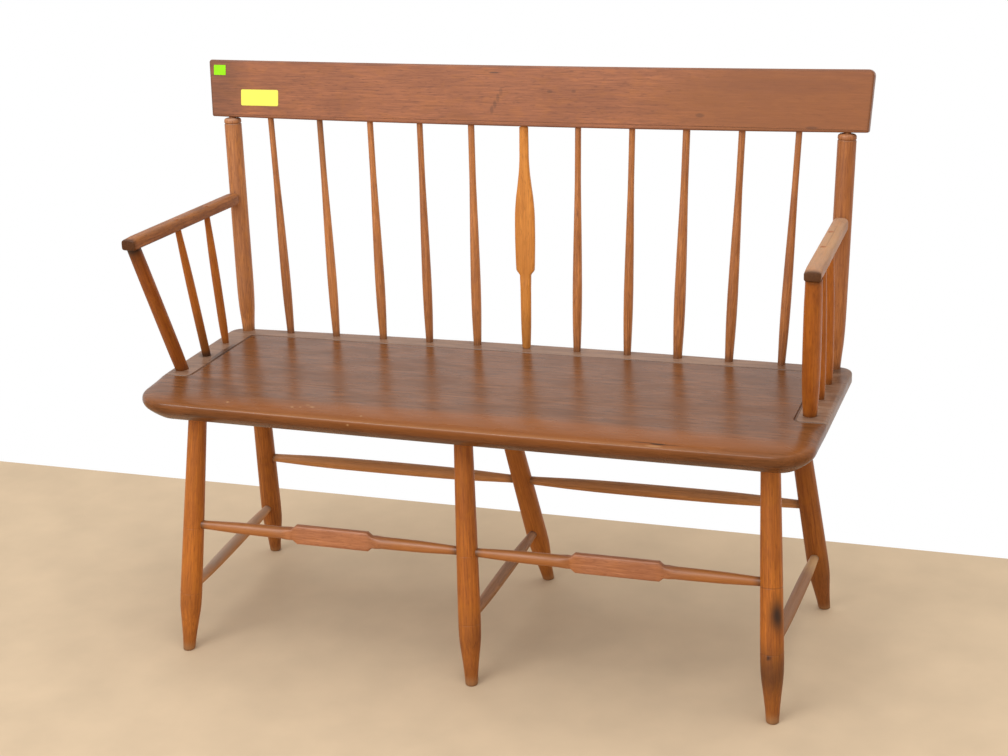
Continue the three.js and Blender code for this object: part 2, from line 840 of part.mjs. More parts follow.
// Stretchers between two legs at a height.
function stretcherFrame(fromLeg, toLeg, height) {
  const fromAxis = legAxes[fromLeg];
  const toAxis = legAxes[toLeg];
  const from = pointAtHeight(fromAxis.foot, fromAxis.top, height);
  const to = pointAtHeight(toAxis.foot, toAxis.top, height);
  const start = tenonEnd(from, to, legSwellDiameter / 2, stretcherTenonDepth);
  const end = tenonEnd(to, from, legSwellDiameter / 2, stretcherTenonDepth);
  return axisFrame(start, end);
}

function turnedStretcher(frame, swell) {
  const visible = frame.length - stretcherTenonDepth * 2;
  const rings = sweptStretcherShares.map(([share, growth]) =>
    roundStation(
      stretcherTenonDepth + share * visible,
      THREE.MathUtils.lerp(stretcherEndDiameter, swell, growth),
    ),
  );
  rings.unshift(roundStation(0, stretcherEndDiameter));
  rings.push(roundStation(frame.length, stretcherEndDiameter));
  return ringSolid(frame, rings, postSides);
}

// Front stretcher: round ends, and a flat paddle in the middle that stands upright.
function paddledStretcher(frame, paddleLength, paddleShift) {
  const middle = frame.length / 2 + paddleShift;
  const firstHalf = paddledHalf(middle - paddleLength / 2);
  const secondHalf = paddledHalf(frame.length - middle - paddleLength / 2);
  const turned = secondHalf.map(([place, ...section]) => [frame.length - place, ...section]).reverse();
  return ringSolid(frame, [...firstHalf, ...turned], postSides);
}

function paddledHalf(near) {
  const shaftReach = near - stretcherTenonDepth;
  const growing = frontShaftShares.map(([share, growth]) => [
    stretcherTenonDepth + share * shaftReach,
    THREE.MathUtils.lerp(stretcherEndDiameter, frontStretcherSwell, growth),
  ]);
  const half = [[0, stretcherEndDiameter], ...growing].map(([place, width]) => roundStation(place, width));
  const shoulder = paddleShoulderShares.map(([reach, thick, high]) => [
    near - reach * paddleShoulder,
    (thick * paddleThickness) / 2,
    (high * paddleHeight) / 2,
    bladeExponent,
  ]);
  return [...half, ...shoulder.reverse()];
}

function endSockets(frame, diameter, sides) {
  return [
    socketFor(frame, -jointClearance, cutterReach, diameter, sides),
    socketFor(frame, frame.length - cutterReach, frame.length + jointClearance, diameter, sides),
  ];
}

const stretcherPlaces = {
  stretcher_front_left: ['leg_front_left', 'leg_front_middle', frontStretcherHeight],
  stretcher_front_right: ['leg_front_middle', 'leg_front_right', frontStretcherHeight],
  stretcher_rear_left: ['leg_rear_left', 'leg_rear_middle', rearStretcherHeight],
  stretcher_rear_right: ['leg_rear_middle', 'leg_rear_right', rearStretcherHeight],
  stretcher_side_left: ['leg_front_left', 'leg_rear_left', leftStretcherHeight],
  stretcher_side_middle: ['leg_front_middle', 'leg_rear_middle', middleStretcherHeight],
  stretcher_side_right: ['leg_front_right', 'leg_rear_right', rightStretcherHeight],
};

const legSockets = {};
for (const [name, [fromLeg, toLeg, height]] of Object.entries(stretcherPlaces)) {
  const frame = stretcherFrame(fromLeg, toLeg, height);
  if (name.includes('front')) {
    const left = name.endsWith('left');
    const paddle = left ? leftPaddleLength : rightPaddleLength;
    const shift = left ? leftPaddleShift : rightPaddleShift;
    addPart(name, paddledStretcher(frame, paddle, shift), paddleColour, woodRoughness);
  } else {
    const swell = name.includes('side') ? sideStretcherSwell : rearStretcherSwell;
    addPart(name, turnedStretcher(frame, swell), rearStretcherColour, woodRoughness);
  }
  const [startSocket, endSocket] = endSockets(frame, stretcherEndDiameter, postSides);
  legSockets[fromLeg] = [...(legSockets[fromLeg] ?? []), startSocket];
  legSockets[toLeg] = [...(legSockets[toLeg] ?? []), endSocket];
}

const seatCutters = [scoreCutter()];
const floor = floorBlock();
for (const [name, axis] of Object.entries(legAxes)) {
  const cutters = [floor, ...legSockets[name]];
  const colour = name.includes('front') ? frontLegColour : rearLegColour;
  addPart(name, cutAway(legSolid(name), cutters), colour, woodRoughness);
  seatCutters.push(legSeatSocket(axis));
}

// Back spindles and the arrow.
const crestCutters = [];

function spindleAxis(place, shift) {
  const seat = new THREE.Vector3(place * spindleSeatPitch + shift, 0, seatHeightAtSpindles);
  const aim = new THREE.Vector3(place * spindleHeadPitch + shift, backHeadY, crestBottomHeight);
  const head = placeUnderCrest(seat, aim);
  const along = head.clone().sub(seat).normalize();
  const start = seat.clone().addScaledVector(along, -spindleSeatSocketDepth);
  const end = head.clone().addScaledVector(along, spindleHeadSocketDepth);
  return { frame: axisFrame(start, end), visible: seat.distanceTo(head) };
}

function plainSpindle(axis, swell) {
  const rings = spindleProfileShares.map(([share, width]) =>
    roundStation(spindleSeatSocketDepth + share * axis.visible, width * swell),
  );
  const seatWidth = spindleProfileShares[0][1] * swell;
  const headWidth = spindleProfileShares[spindleProfileShares.length - 1][1] * swell;
  rings.unshift(roundStation(0, seatWidth));
  rings.push(roundStation(axis.frame.length, headWidth));
  return ringSolid(axis.frame, rings, spindleSides);
}

function arrowSpindle(axis) {
  const at = (share) => spindleSeatSocketDepth + share * axis.visible;
  const blade = arrowBladeThickness / 2;
  const neck = arrowNeckWidth / 2;
  const neckThick = arrowNeckThickness / 2;
  const stem = arrowStemDiameter / 2;
  const tenon = arrowTenonDiameter / 2;
  const wide = arrowBladeWidth / 2;
  const rings = [
    [0, tenon, tenon, roundExponent],
    [spindleSeatSocketDepth + jointClearance, tenon, tenon, roundExponent],
    ...arrowStemShares.map(([share, width, thick]) => [
      at(share),
      stem * width,
      stem * thick,
      roundExponent,
    ]),
    [at(arrowShoulderShare), stem, blade, bladeExponent],
    [at(arrowShoulderMiddleShare), (stem + wide) / 2, blade, bladeExponent],
    ...bladeProfileShares.map(([share, width]) => [at(share), wide * width, blade, bladeExponent]),
    ...arrowNeckShares.map(([share, width]) => [at(share), neck * width, neckThick, armExponent]),
    [at(1) - arrowHeadGap, neck, neckThick, roundExponent],
    [at(1) - arrowHeadGap, tenon, tenon, roundExponent],
    [axis.frame.length, tenon, tenon, roundExponent],
  ];
  return ringSolid(axis.frame, rings, bladeSides);
}

spindleSwells.forEach((swell, index) => {
  const axis = spindleAxis(index - middleSpindle, spindleShifts[index]);
  const isArrow = index === middleSpindle;
  const sides = isArrow ? bladeSides : spindleSides;
  const seatWidth = isArrow ? arrowTenonDiameter : spindleProfileShares[0][1] * swell;
  const lastShares = spindleProfileShares[spindleProfileShares.length - 1];
  const headWidth = isArrow ? arrowTenonDiameter : lastShares[1] * swell;
  const seatReach = spindleSeatSocketDepth + cutterReach;
  seatCutters.push(socketFor(axis.frame, -jointClearance, seatReach, seatWidth, sides));
  const headFrom = axis.frame.length - spindleHeadSocketDepth - cutterReach;
  crestCutters.push(socketFor(axis.frame, headFrom, axis.frame.length + jointClearance, headWidth, sides));
  if (isArrow) {
    addPart('back_spindle_arrow', arrowSpindle(axis), arrowColour, woodRoughness);
  } else {
    const name = `back_spindle_${index < middleSpindle ? index + 1 : index}`;
    addPart(name, plainSpindle(axis, swell), spindleColour, woodRoughness);
  }
});

// Back posts with a scored ring and a rounded shoulder under the crest.
function postAxis(side) {
  const seat = new THREE.Vector3(side * postSeatX, 0, seatHeightAtSpindles);
  const aim = new THREE.Vector3(side * postHeadX, backHeadY, crestBottomHeight);
  const head = placeUnderCrest(seat, aim);
  const along = head.clone().sub(seat).normalize();
  const start = seat.clone().addScaledVector(along, -postSeatSocketDepth);
  const end = head.clone().addScaledVector(along, postHeadTenonDepth);
  return { frame: axisFrame(start, end), visible: seat.distanceTo(head) };
}

function postSolid(axis) {
  const head = postSeatSocketDepth + axis.visible - postHeadGap;
  const ring = head - postRingBelowHead;
  const rings = [
    roundStation(0, postSeatDiameter),
    ...postProfileShares.map(([share, growth]) =>
      roundStation(
        postSeatSocketDepth + share * axis.visible,
        THREE.MathUtils.lerp(postSeatDiameter, postDiameter, growth),
      ),
    ),
    roundStation(ring - postRingWidth / 2, postDiameter),
    roundStation(ring, postDiameter - postRingDepth * 2),
    roundStation(ring + postRingWidth / 2, postDiameter),
    ...postShoulderShares.map(([below, width]) =>
      roundStation(head - below * postShoulderHeight, width * postDiameter),
    ),
    roundStation(head, postHeadTenonDiameter),
    roundStation(axis.frame.length, postHeadTenonDiameter),
  ];
  return ringSolid(axis.frame, rings, postSides);
}

// Arms. Each ends in a round tenon inside the back post. Its frame's "up" points down.
function armAxis(side, post) {
  const pastPost = side < 0 ? leftArmPastPost : rightArmPastPost;
  const shift = side < 0 ? leftArmHeadShift : rightArmHeadShift;
  const frontHeight = armRearHeight + (side < 0 ? leftArmRise : rightArmRise);
  const front = new THREE.Vector3(side * armFrontX + shift, armPostHeadY - pastPost, frontHeight);
  const postStart = post.frame.start;
  const postEnd = postStart.clone().addScaledVector(post.frame.along, post.frame.length);
  const inPost = pointAtHeight(postStart, postEnd, armRearHeight);
  const along = inPost.clone().sub(front).normalize();
  const shoulder = inPost.clone().addScaledVector(along, -postDiameter / 2 - armRearPostGap);
  const end = shoulder.clone().addScaledVector(along, armTenonDepth);
  return { frame: axisFrame(front, end), body: front.distanceTo(shoulder) };
}

function armSolid(axis) {
  const wide = armWidth / 2;
  const thick = armThickness / 2;
  const tail = axis.body - armTailLength;
  const tenon = armTenonDiameter / 2;
  const rings = [
    ...armEndShares.map(([place, cut]) => [
      place * armEndRounding,
      wide - cut * armEndRounding,
      thick - cut * armEndRounding,
      armExponent,
      armUndersideExponent,
    ]),
    ...armTailShares.map(([place, width, height]) => [
      tail + place * armTailLength,
      wide * width,
      thick * height,
      armExponent,
      armUndersideExponent,
    ]),
    [axis.body, tenon, tenon, roundExponent],
    [axis.frame.length, tenon, tenon, roundExponent],
  ];
  return ringSolid(axis.frame, rings, postSides);
}

function armHeightAt(arm, y) {
  const { start, along } = arm.frame;
  return start.z + (along.z / along.y) * (y - start.y);
}

// Block that holds everything above a plane along an arm, at a height over the arm's axis.
function blockOverArm(axis, height) {
  const { frame } = axis;
  const up = frame.up.z > 0 ? frame.up : frame.up.clone().negate();
  const across = up.clone().cross(frame.along);
  const start = frame.start.clone().addScaledVector(up, height);
  const alongReach = [-cutterReach, frame.length + cutterReach];
  const acrossReach = [-cutterReach, cutterReach];
  return blockSolid(start, [frame.along, across, up], [alongReach, acrossReach, [0, cutterReach]]);
}

// Block that slopes the top of an arm down to its front end.
function noseBlock(axis) {
  const { frame } = axis;
  const up = frame.up.z > 0 ? frame.up : frame.up.clone().negate();
  const across = up.clone().cross(frame.along);
  const start = frame.start.clone().addScaledVector(up, armThickness / 2 - armNoseDrop);
  const slope = frame.along.clone().multiplyScalar(armNoseLength).addScaledVector(up, armNoseDrop);
  slope.normalize();
  const raised = across.clone().cross(slope).negate();
  const reach = [-cutterReach, cutterReach];
  return blockSolid(start, [slope, across, raised], [reach, reach, [0, cutterReach]]);
}

// A piece between the seat and an arm: profile up to the arm, then a tenon into it.
function armSupport(seat, head, arm, size, profile, swell) {
  const { tenon, tenonTop, socketTop, depth, sides } = size;
  const along = head.clone().sub(seat).normalize();
  const start = seat.clone().addScaledVector(along, -depth);
  const end = head.clone().addScaledVector(along, armThickness * 2);
  const frame = axisFrame(start, end);
  const visible = seat.distanceTo(head);
  const seatWidth = profile[0][1] * swell;
  const headWidth = profile[profile.length - 1][1] * swell;
  const rings = [
    roundStation(0, seatWidth),
    ...profile.map(([share, width]) => roundStation(depth + share * visible, width * swell)),
    roundStation(depth + visible + armThickness / 2, headWidth),
  ];
  const tenonFrom = depth + visible - armThickness / 2;
  const tenonRings = [roundStation(tenonFrom, tenon), roundStation(frame.length, tenon)];
  const shoulder = blockOverArm(arm, -armThickness / 2 - jointClearance);
  const flush = blockOverArm(arm, tenonTop);
  const shaft = cutAway(ringSolid(frame, rings, sides), [shoulder]);
  const solid = joined(shaft, cutAway(ringSolid(frame, tenonRings, sides), [flush]));
  const seatSocket = socketFor(frame, -jointClearance, depth + cutterReach, seatWidth, sides);
  const armSocket = socketFor(frame, depth + visible - armThickness, frame.length, tenon, sides);
  return { solid, seatSocket, hole: cutAway(armSocket, [blockOverArm(arm, socketTop)]) };
}

// What stands between the seat and each arm. A head has the depth that it lies below the arm's axis.
// Pairs belong to the left and the right.
const armSpindleEnds = {
  profiles: [armSpindleProfileShares, armSpindleProfileShares],
  swells: [armSpindleSwell, armSpindleSwell],
  footShifts: [leftArmSpindleShift, rightArmSpindleShift],
  headShifts: [leftArmSpindleShift, rightArmSpindleShift],
  tenon: armSpindleTenonDiameter,
  tenonTop: armThickness / 2 - jointClearance,
  socketTop: armThickness,
  depth: armSpindleSocketDepth,
  sides: spindleSides,
};
const armSupportSizes = {
  post: {
    foot: [armPostSeatX, armPostSeatY],
    head: [armPostHeadX, armPostHeadY, armPostHeadBelowArm],
    profiles: [leftArmPostShares, rightArmPostShares],
    swells: [leftArmPostSwell, rightArmPostSwell],
    footShifts: [leftArmPostFootShift, rightArmPostFootShift],
    headShifts: [leftArmHeadShift, rightArmHeadShift],
    tenon: armPostTenonDiameter,
    tenonTop: armPostTenonRise,
    socketTop: armPostTenonRise + jointClearance,
    depth: armPostSeatSocketDepth,
    sides: postSides,
  },
  front: {
    ...armSpindleEnds,
    foot: [frontArmSpindleSeatX, frontArmSpindleSeatY],
    head: [frontArmSpindleHeadX, frontArmSpindleHeadY, armSpindleHeadBelowArm],
    profiles: [stoutArmSpindleShares, armSpindleProfileShares],
  },
  rear: {
    ...armSpindleEnds,
    foot: [rearArmSpindleSeatX, rearArmSpindleSeatY],
    head: [rearArmSpindleHeadX, rearArmSpindleHeadY, armSpindleHeadBelowArm],
  },
};

for (const [side, word] of [[-1, 'left'], [1, 'right']]) {
  const post = postAxis(side);
  const arm = armAxis(side, post);
  const armEnd = arm.frame.length + jointClearance;
  const armSocket = socketFor(arm.frame, arm.body - armTailLength, armEnd, armTenonDiameter, postSides);
  addPart(`back_post_${word}`, cutAway(postSolid(post), [armSocket]), postColour, woodRoughness);
  const seatReach = postSeatSocketDepth + cutterReach;
  seatCutters.push(socketFor(post.frame, -jointClearance, seatReach, postSeatDiameter, postSides));
  const headFrom = post.frame.length - postHeadTenonDepth - cutterReach;
  const headTo = post.frame.length + jointClearance;
  crestCutters.push(socketFor(post.frame, headFrom, headTo, postHeadTenonDiameter, postSides));

  const holes = [noseBlock(arm)];
  const hand = side < 0 ? 0 : 1;
  for (const [kind, size] of Object.entries(armSupportSizes)) {
    const [footX, footY] = size.foot;
    const [headX, headY, below] = size.head;
    const headAcross = side * headX + size.headShifts[hand];
    const head = new THREE.Vector3(headAcross, headY, armHeightAt(arm, headY) - below);
    const footAcross = side * footX + size.footShifts[hand];
    const footAim = new THREE.Vector3(footAcross, footY, seatHeightAtSpindles);
    const foot = placeBelowSeat(footAim, head, 0);
    const support = armSupport(foot, head, arm, size, size.profiles[hand], size.swells[hand]);
    const name = kind === 'post' ? `arm_post_${word}` : `arm_spindle_${word}_${kind}`;
    addPart(name, support.solid, armPostColour, woodRoughness);
    seatCutters.push(support.seatSocket);
    holes.push(support.hole);
  }
  addPart(`arm_${word}`, cutAway(armSolid(arm), holes), armColour, woodRoughness);
}

addPart('seat', cutAway(seatPlank(), seatCutters), seatColour, seatRoughness);

// Crest rail: a board with slightly hollow long edges, leaning back.
function crestPlace(x, rise, depth) {
  const point = crestCorner.clone().addScaledVector(crestUp, rise).addScaledVector(crestBack, depth);
  point.x = x;
  return point;
}

function crestOutline() {
  const topAt = (x) => crestHeight + crestTopSag * (x / crestTopHalfLength) ** 2;
  const points = [];
  const low = crestBottomHalfLength - crestBottomCorner;
  const lowRise = crestBottomSag + crestBottomCorner;
  for (let step = 0; step <= crestEdgeSteps; step += 1) {
    const x = THREE.MathUtils.lerp(-low, low, step / crestEdgeSteps);
    points.push(new THREE.Vector2(x, crestBottomRise(x)));
  }
  points.push(...arcPoints(low, lowRise, crestBottomCorner, 270, 360, crestCornerSteps));
  const right = crestTopHalfLength - crestTopRightCorner;
  const rightRise = topAt(right) - crestTopRightCorner;
  const left = crestTopHalfLength - crestTopLeftCorner;
  const leftRise = topAt(left) - crestTopLeftCorner;
  points.push(new THREE.Vector2(crestTopHalfLength, rightRise));
  points.push(...arcPoints(right, rightRise, crestTopRightCorner, 0, 90, crestCornerSteps));
  for (let step = 1; step < crestEdgeSteps; step += 1) {
    const x = THREE.MathUtils.lerp(right, -left, step / crestEdgeSteps);
    points.push(new THREE.Vector2(x, topAt(x)));
  }
  points.push(new THREE.Vector2(-left, topAt(left)));
  points.push(...arcPoints(-left, leftRise, crestTopLeftCorner, 90, 180, crestCornerSteps));
  points.push(new THREE.Vector2(-crestBottomHalfLength, lowRise));
  points.push(...arcPoints(-low, lowRise, crestBottomCorner, 180, 270, crestCornerSteps).slice(0, -1));
  return points;
}

function crestBoard() {
  const outline = crestOutline();
  const layer = (value) => outline.map(() => value);
  const insets = [layer(crestArris), layer(0), layer(0), layer(crestArris)];
  const drops = [
    layer(0),
    layer(crestArris),
    layer(crestThickness - crestArris),
    layer(crestThickness),
  ];
  return layeredSolid(outline, insets, drops, crestPlace);
}

addPart('crest_rail', cutAway(crestBoard(), crestCutters), crestColour, woodRoughness);

// Blank paper labels, a hair in front of the crest.
function labelSolid(x, rise, width, height) {
  const points = [];
  const halfWidth = width / 2 - labelCornerRadius;
  const halfHeight = height / 2 - labelCornerRadius;
  const corners = [[1, -1, 270], [1, 1, 0], [-1, 1, 90], [-1, -1, 180]];
  for (const [right, up, degrees] of corners) {
    const centreX = x + right * halfWidth;
    const centreRise = rise + up * halfHeight;
    const first = THREE.MathUtils.degToRad(degrees);
    points.push(new THREE.Vector2(
      centreX + labelCornerRadius * Math.cos(first),
      centreRise + labelCornerRadius * Math.sin(first),
    ));
    const end = degrees + 90;
    points.push(...arcPoints(centreX, centreRise, labelCornerRadius, degrees, end, labelCornerSteps));
  }
  const flat = points.map(() => 0);
  const near = points.map(() => -jointClearance - labelThickness);
  const far = points.map(() => -jointClearance);
  return layeredSolid(points, [flat, flat], [near, far], crestPlace);
}

addPart(
  'label_green',
  labelSolid(greenLabelX, greenLabelRise, greenLabelWidth, greenLabelHeight),
  greenLabelColour,
  labelRoughness,
);
addPart(
  'label_yellow',
  labelSolid(yellowLabelX, yellowLabelRise, yellowLabelWidth, yellowLabelHeight),
  yellowLabelColour,
  labelRoughness,
);

// Move the bench so that its box stands on the floor with its middle over the origin.
const bench = new THREE.Group();
bench.name = 'deacons_bench';
const box = new THREE.Box3();
for (const geometry of Object.values(parts)) {
  geometry.computeBoundingBox();
  box.union(geometry.boundingBox);
}
const middle = box.getCenter(new THREE.Vector3());
for (const [name, geometry] of Object.entries(parts)) {
  geometry.translate(-middle.x, -middle.y, -box.min.z);
  const { colour, roughness } = colours[name];
  const material = new THREE.MeshStandardMaterial({ color: colour, roughness, metalness: nonMetal });
  const mesh = new THREE.Mesh(geometry, material);
  mesh.name = name;
  bench.add(mesh);
}

export default bench;
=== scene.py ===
import math

import bmesh
import bpy
from bpy.props import FloatProperty, FloatVectorProperty, PointerProperty
from mathutils import Matrix, Vector


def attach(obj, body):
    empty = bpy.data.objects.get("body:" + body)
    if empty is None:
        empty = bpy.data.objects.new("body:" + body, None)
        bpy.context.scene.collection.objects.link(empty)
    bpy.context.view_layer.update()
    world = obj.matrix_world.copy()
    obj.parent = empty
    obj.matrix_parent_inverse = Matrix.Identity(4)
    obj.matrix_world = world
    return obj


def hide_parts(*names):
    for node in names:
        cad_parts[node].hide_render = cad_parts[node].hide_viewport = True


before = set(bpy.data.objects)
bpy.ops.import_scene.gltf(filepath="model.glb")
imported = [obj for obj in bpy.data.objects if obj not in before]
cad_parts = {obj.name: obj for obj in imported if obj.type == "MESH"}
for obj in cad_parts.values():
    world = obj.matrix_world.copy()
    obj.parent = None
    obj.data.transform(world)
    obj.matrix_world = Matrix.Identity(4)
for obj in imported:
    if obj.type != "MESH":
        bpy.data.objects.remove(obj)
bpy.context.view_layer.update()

bl_info = {
    "name": "Deacons bench",
    "version": (1, 0, 0),
    "blender": (4, 5, 0),
    "location": "3D View > Sidebar > Bench",
    "description": "Builds an old spindle-backed deacons bench, piece by piece",
    "category": "Object",
}

MM = 0.001
# How far behind the middle of the box the row of spindles stands.
SPINDLE_ROW = 170.77 * MM
# Width of the photograph in pixels, and of the sensor in the camera's own millimetres.
IMAGE_WIDTH = 1008
SENSOR_WIDTH = 36.0

# Meshes

# Length between the rings of a mesh, and how many sides a ring has.
LEG_DETAIL = (4 * MM, 36)
STRETCHER_DETAIL = (6 * MM, 32)
SPINDLE_DETAIL = (7 * MM, 24)
ARROW_DETAIL = (5 * MM, 40)
POST_DETAIL = (7 * MM, 36)
ARM_DETAIL = (8 * MM, 40)
SUPPORT_DETAIL = (7 * MM, 28)
# How square the sections are: 2 is round, more is squarer.
BLADE_EXPONENT = 4.4
NECK_EXPONENT = 2.9
ARM_EXPONENT = 2.9
ARM_UNDERSIDE_EXPONENT = 6
# A mesh gets rings at these shares of a groove's half width, and no other ring nearer than this.
GROOVE_SHARES = (-1.25, -1, -0.6, -0.25, 0, 0.25, 0.6, 1, 1.25)
GROOVE_CLEARANCE = 1.3
# Length over which a section changes at a shoulder.
SHOULDER_STEP = 0.1 * MM
# Faces that meet at more than this angle keep a sharp edge.
SHARP_EDGE = math.radians(38)
# Each piece's grain is shifted by the rest of its number in each cycle, times a step, on X, Y and Z.
GRAIN_SHIFTS = ((17, 0.31), (23, 0.17), (29, 0.23))

# Seat

# Sections of the seat's edge: shares of the rounding, of the undercut and of the thickness.
SEAT_FRONT_SECTION = [
    (1, 0, 0), (0.62, 0, 0.02), (0.34, 0, 0.055), (0.15, 0, 0.1), (0.055, 0, 0.15), (0.012, 0, 0.225),
    (0, 0, 0.35), (0, 0.1, 0.53), (0, 0.36, 0.7), (0, 0.68, 0.86), (0, 1, 1),
]
SEAT_SIDE_SECTION = [
    (1, 0, 0), (0.62, 0, 0.012), (0.32, 0, 0.036), (0.1, 0, 0.078), (0, 0, 0.13), (0, 0, 0.28),
    (0, 0, 0.42), (0, 0.12, 0.55), (0, 0.34, 0.7), (0, 0.66, 0.86), (0, 1, 1),
]
# Steps along the seat's outline.
FRONT_STEPS = 60
FRONT_CORNER_STEPS = 24
END_STEPS = 12
REAR_STEPS = 40
REAR_CORNER_STEPS = 10
# Layers of the edge for each row of a section, and a rim of the flat faces beside the edge.
LAYERS_PER_ROW = 3
SEAT_RIM = 3 * MM
# Share of the front roll that is left at the front corners, and how far from them it grows to all.
CORNER_ROLL = 0.84
CORNER_SPREAD = 60 * MM
# Section of the scored line's cutter: shares of the line's width and of its depth.
SCORE_SECTION = [
    (-0.5, 0.9), (-0.5, 0), (-0.36, -0.62), (-0.14, -1), (0.14, -1), (0.36, -0.62), (0.5, 0), (0.5, 0.9),
]
SCORE_CORNER_STEPS = 6
# Painted shade under the nose and along the lower edge all round starts at this row of the front section
# and grows with each row.
SHADED_ROW = 5
FACE_SHADE = (0.04, 0.03)
# A painted highlight, partly rubbed finish, lies along the nose around this row with this strength, full up
# to this far from the middle and fading towards its ends.
GLEAM_ROW = 4.3
NOSE_GLEAM = 0.14
NOSE_HALF = 250 * MM
NOSE_FADE = 260 * MM

# Crest and labels

# Steps along the crest's outline, turns of its arris with a layer each, and a rim of its flat faces.
CREST_STEPS = 40
CREST_CORNER_STEPS = 6
TOP_RIGHT_STEPS = 8
ARRIS_TURNS = [0, 15, 30, 50, 70, 90]
CREST_RIM = 2 * MM
CREST_ARRIS_DIRT = 0.3
LABEL_CORNER_STEPS = 5

# Legs

# Feet and heads of the legs, measured from the middle spindle: x and y of each, in millimetres.
LEG_LINES = {
    "leg_front_left": (-487, -377, -466, -294),
    "leg_front_middle": (10, -377, -12, -294),
    "leg_front_right": (487, -377, 466, -294),
    "leg_rear_left": (-507, 7, -464, -83),
    "leg_rear_middle": (22, 7, -31, -83),
    "leg_rear_right": (507, 7, 464, -83),
}
# How dirty the lower part of each leg is, and its tone from light to dark.
LEG_LOOKS = {
    "leg_front_left": (0.2, -0.15), "leg_front_middle": (0.3, 0.15), "leg_front_right": (0.7, 0.1),
    "leg_rear_left": (0.1, 0), "leg_rear_middle": (0, -0.45), "leg_rear_right": (0.25, 0.5),
}
# Profiles of legs and spindles: share of the length in sight, from the foot up, and share of the
# widest diameter.
LEG_PROFILE = [
    (0, 0.55), (0.045, 0.62), (0.085, 0.715), (0.12, 0.81), (0.158, 0.915), (0.195, 0.98),
    (0.24, 1), (0.36, 0.985), (0.6, 0.935), (0.8, 0.88), (1, 0.83),
]
# Stains and rubbed places are pairs of a strength and a reach in millimetres.
SOLE_DIRT = (0.2, 6)
FOOT_DIRT = (0.35, 55)
FOOT_WEAR = (0.5, 18)
LEG_HEAD_DIRT = (0.35, 18)
LEG_RING_DIRT = (0.06, 1.6)
LOWER_LEG_PLACE = 75 * MM
LOWER_LEG_REACH = 70
# Burn and dent on the right front leg, in the row's frame. The burn is higher than it is wide.
BURN = Vector((489.5, -187, 168)) * MM
BURN_SOOT = (1.05, 20)
BURN_SQUEEZE = 0.42
BURNT_RING = (0.3, 1.6)
DENT = Vector((479.5, -203, 105.4)) * MM
DENT_SOOT = (0.8, 5)

# Stretchers

# Each stretcher's two legs and the height of its axis.
STRETCHERS = {
    "stretcher_front_left": ("leg_front_left", "leg_front_middle", 210),
    "stretcher_front_right": ("leg_front_middle", "leg_front_right", 210),
    "stretcher_rear_left": ("leg_rear_left", "leg_rear_middle", 206),
    "stretcher_rear_right": ("leg_rear_middle", "leg_rear_right", 206),
    "stretcher_side_left": ("leg_front_left", "leg_rear_left", 101),
    "stretcher_side_middle": ("leg_front_middle", "leg_rear_middle", 102),
    "stretcher_side_right": ("leg_front_right", "leg_rear_right", 110),
}
# Tone of each stretcher, from light to dark, and how dusty its top is.
STRETCHER_LOOKS = {
    "stretcher_front_left": (-0.05, 0),
    "stretcher_front_right": (0.15, 0.05),
    "stretcher_rear_left": (-0.75, 0.15),
    "stretcher_rear_right": (-0.4, 0.15),
    "stretcher_side_left": (-0.7, 1),
    "stretcher_side_middle": (0.45, 0.4),
    "stretcher_side_right": (1, 0.3),
}
# Rear and side stretchers: share of the length in sight, and share of the growth to the swell.
SWEPT_PROFILE = [
    (0, 0), (0.06, 0.2), (0.16, 0.62), (0.3, 0.92), (0.5, 1),
    (0.7, 0.92), (0.84, 0.62), (0.94, 0.2), (1, 0),
]
# Front stretchers: the shaft in the same way up to its paddle, then the paddle's shoulder, in shares
# of the shoulder's length, of the paddle's thickness and of its height.
PADDLE_SHAFT = [(0, 0), (0.16, 0.3), (0.42, 0.8), (0.84, 1)]
PADDLE_SHOULDER = [(1.2, 1.15, 0.6), (1, 1, 0.62), (0.5, 1, 0.8), (0, 1, 1)]
STRETCHER_END_DIRT = (0.5, 9)
# The shafts of a front stretcher are this much dirtier than its middle.
SHAFT_DIRT = 0.18
CLEAN_HALF = 66 * MM
CLEAN_FADE = 12 * MM
# Where heels have rubbed the right side stretcher, measured from its rear end.
HEEL_PLACE = 40 * MM
HEEL_WEAR = (0.9, 62)

# Back

# Each back spindle from left to right: its place counted from the middle, its swell, how far it
# stands to the right of its even place, and its tone from light to dark.
SPINDLES = [
    (-5, 15.9, -0.3, 0.35), (-4, 16.0, 0, -0.3), (-3, 16.4, 1.4, -0.1), (-2, 16.0, 0, 0.1),
    (-1, 17.0, 0.2, -0.2), (1, 15.8, 2.6, 0.0), (2, 15.7, 2.2, 0.15), (3, 18.8, 0.6, 0.1),
    (4, 17.2, -0.8, 0.2), (5, 15.8, -1.8, 0.4),
]
SPINDLE_PROFILE = [
    (0, 0.78), (0.05, 0.84), (0.11, 0.92), (0.18, 0.98), (0.27, 1), (0.36, 0.96),
    (0.46, 0.9), (0.56, 0.82), (0.66, 0.73), (0.78, 0.65), (1, 0.635),
]
SPINDLE_FOOT_DIRT = (0.4, 14)
SPINDLE_LOW_DIRT = (0.25, 80)
SECOND_SPINDLE_TOP_DIRT = (0.45, 150)
# How far the arrow stands to the right of the middle.
ARROW_SHIFT = 0.8
# Arrow: share of the length in sight, then shares of the width and, on its stem, of the thickness.
ARROW_STEM = [(0.004, 0.76, 0.72), (0.05, 0.86, 0.76), (0.13, 0.95, 0.8), (0.27, 1, 0.72)]
# Where the stem starts to flatten and where it has widened half way to the blade.
ARROW_SHOULDER = (0.335, 0.35)
ARROW_BLADE = [(0.36, 0.91), (0.42, 0.965), (0.52, 1), (0.6, 0.985), (0.68, 0.86), (0.74, 0.68)]
ARROW_NECK = [(0.82, 1.12), (0.88, 1)]
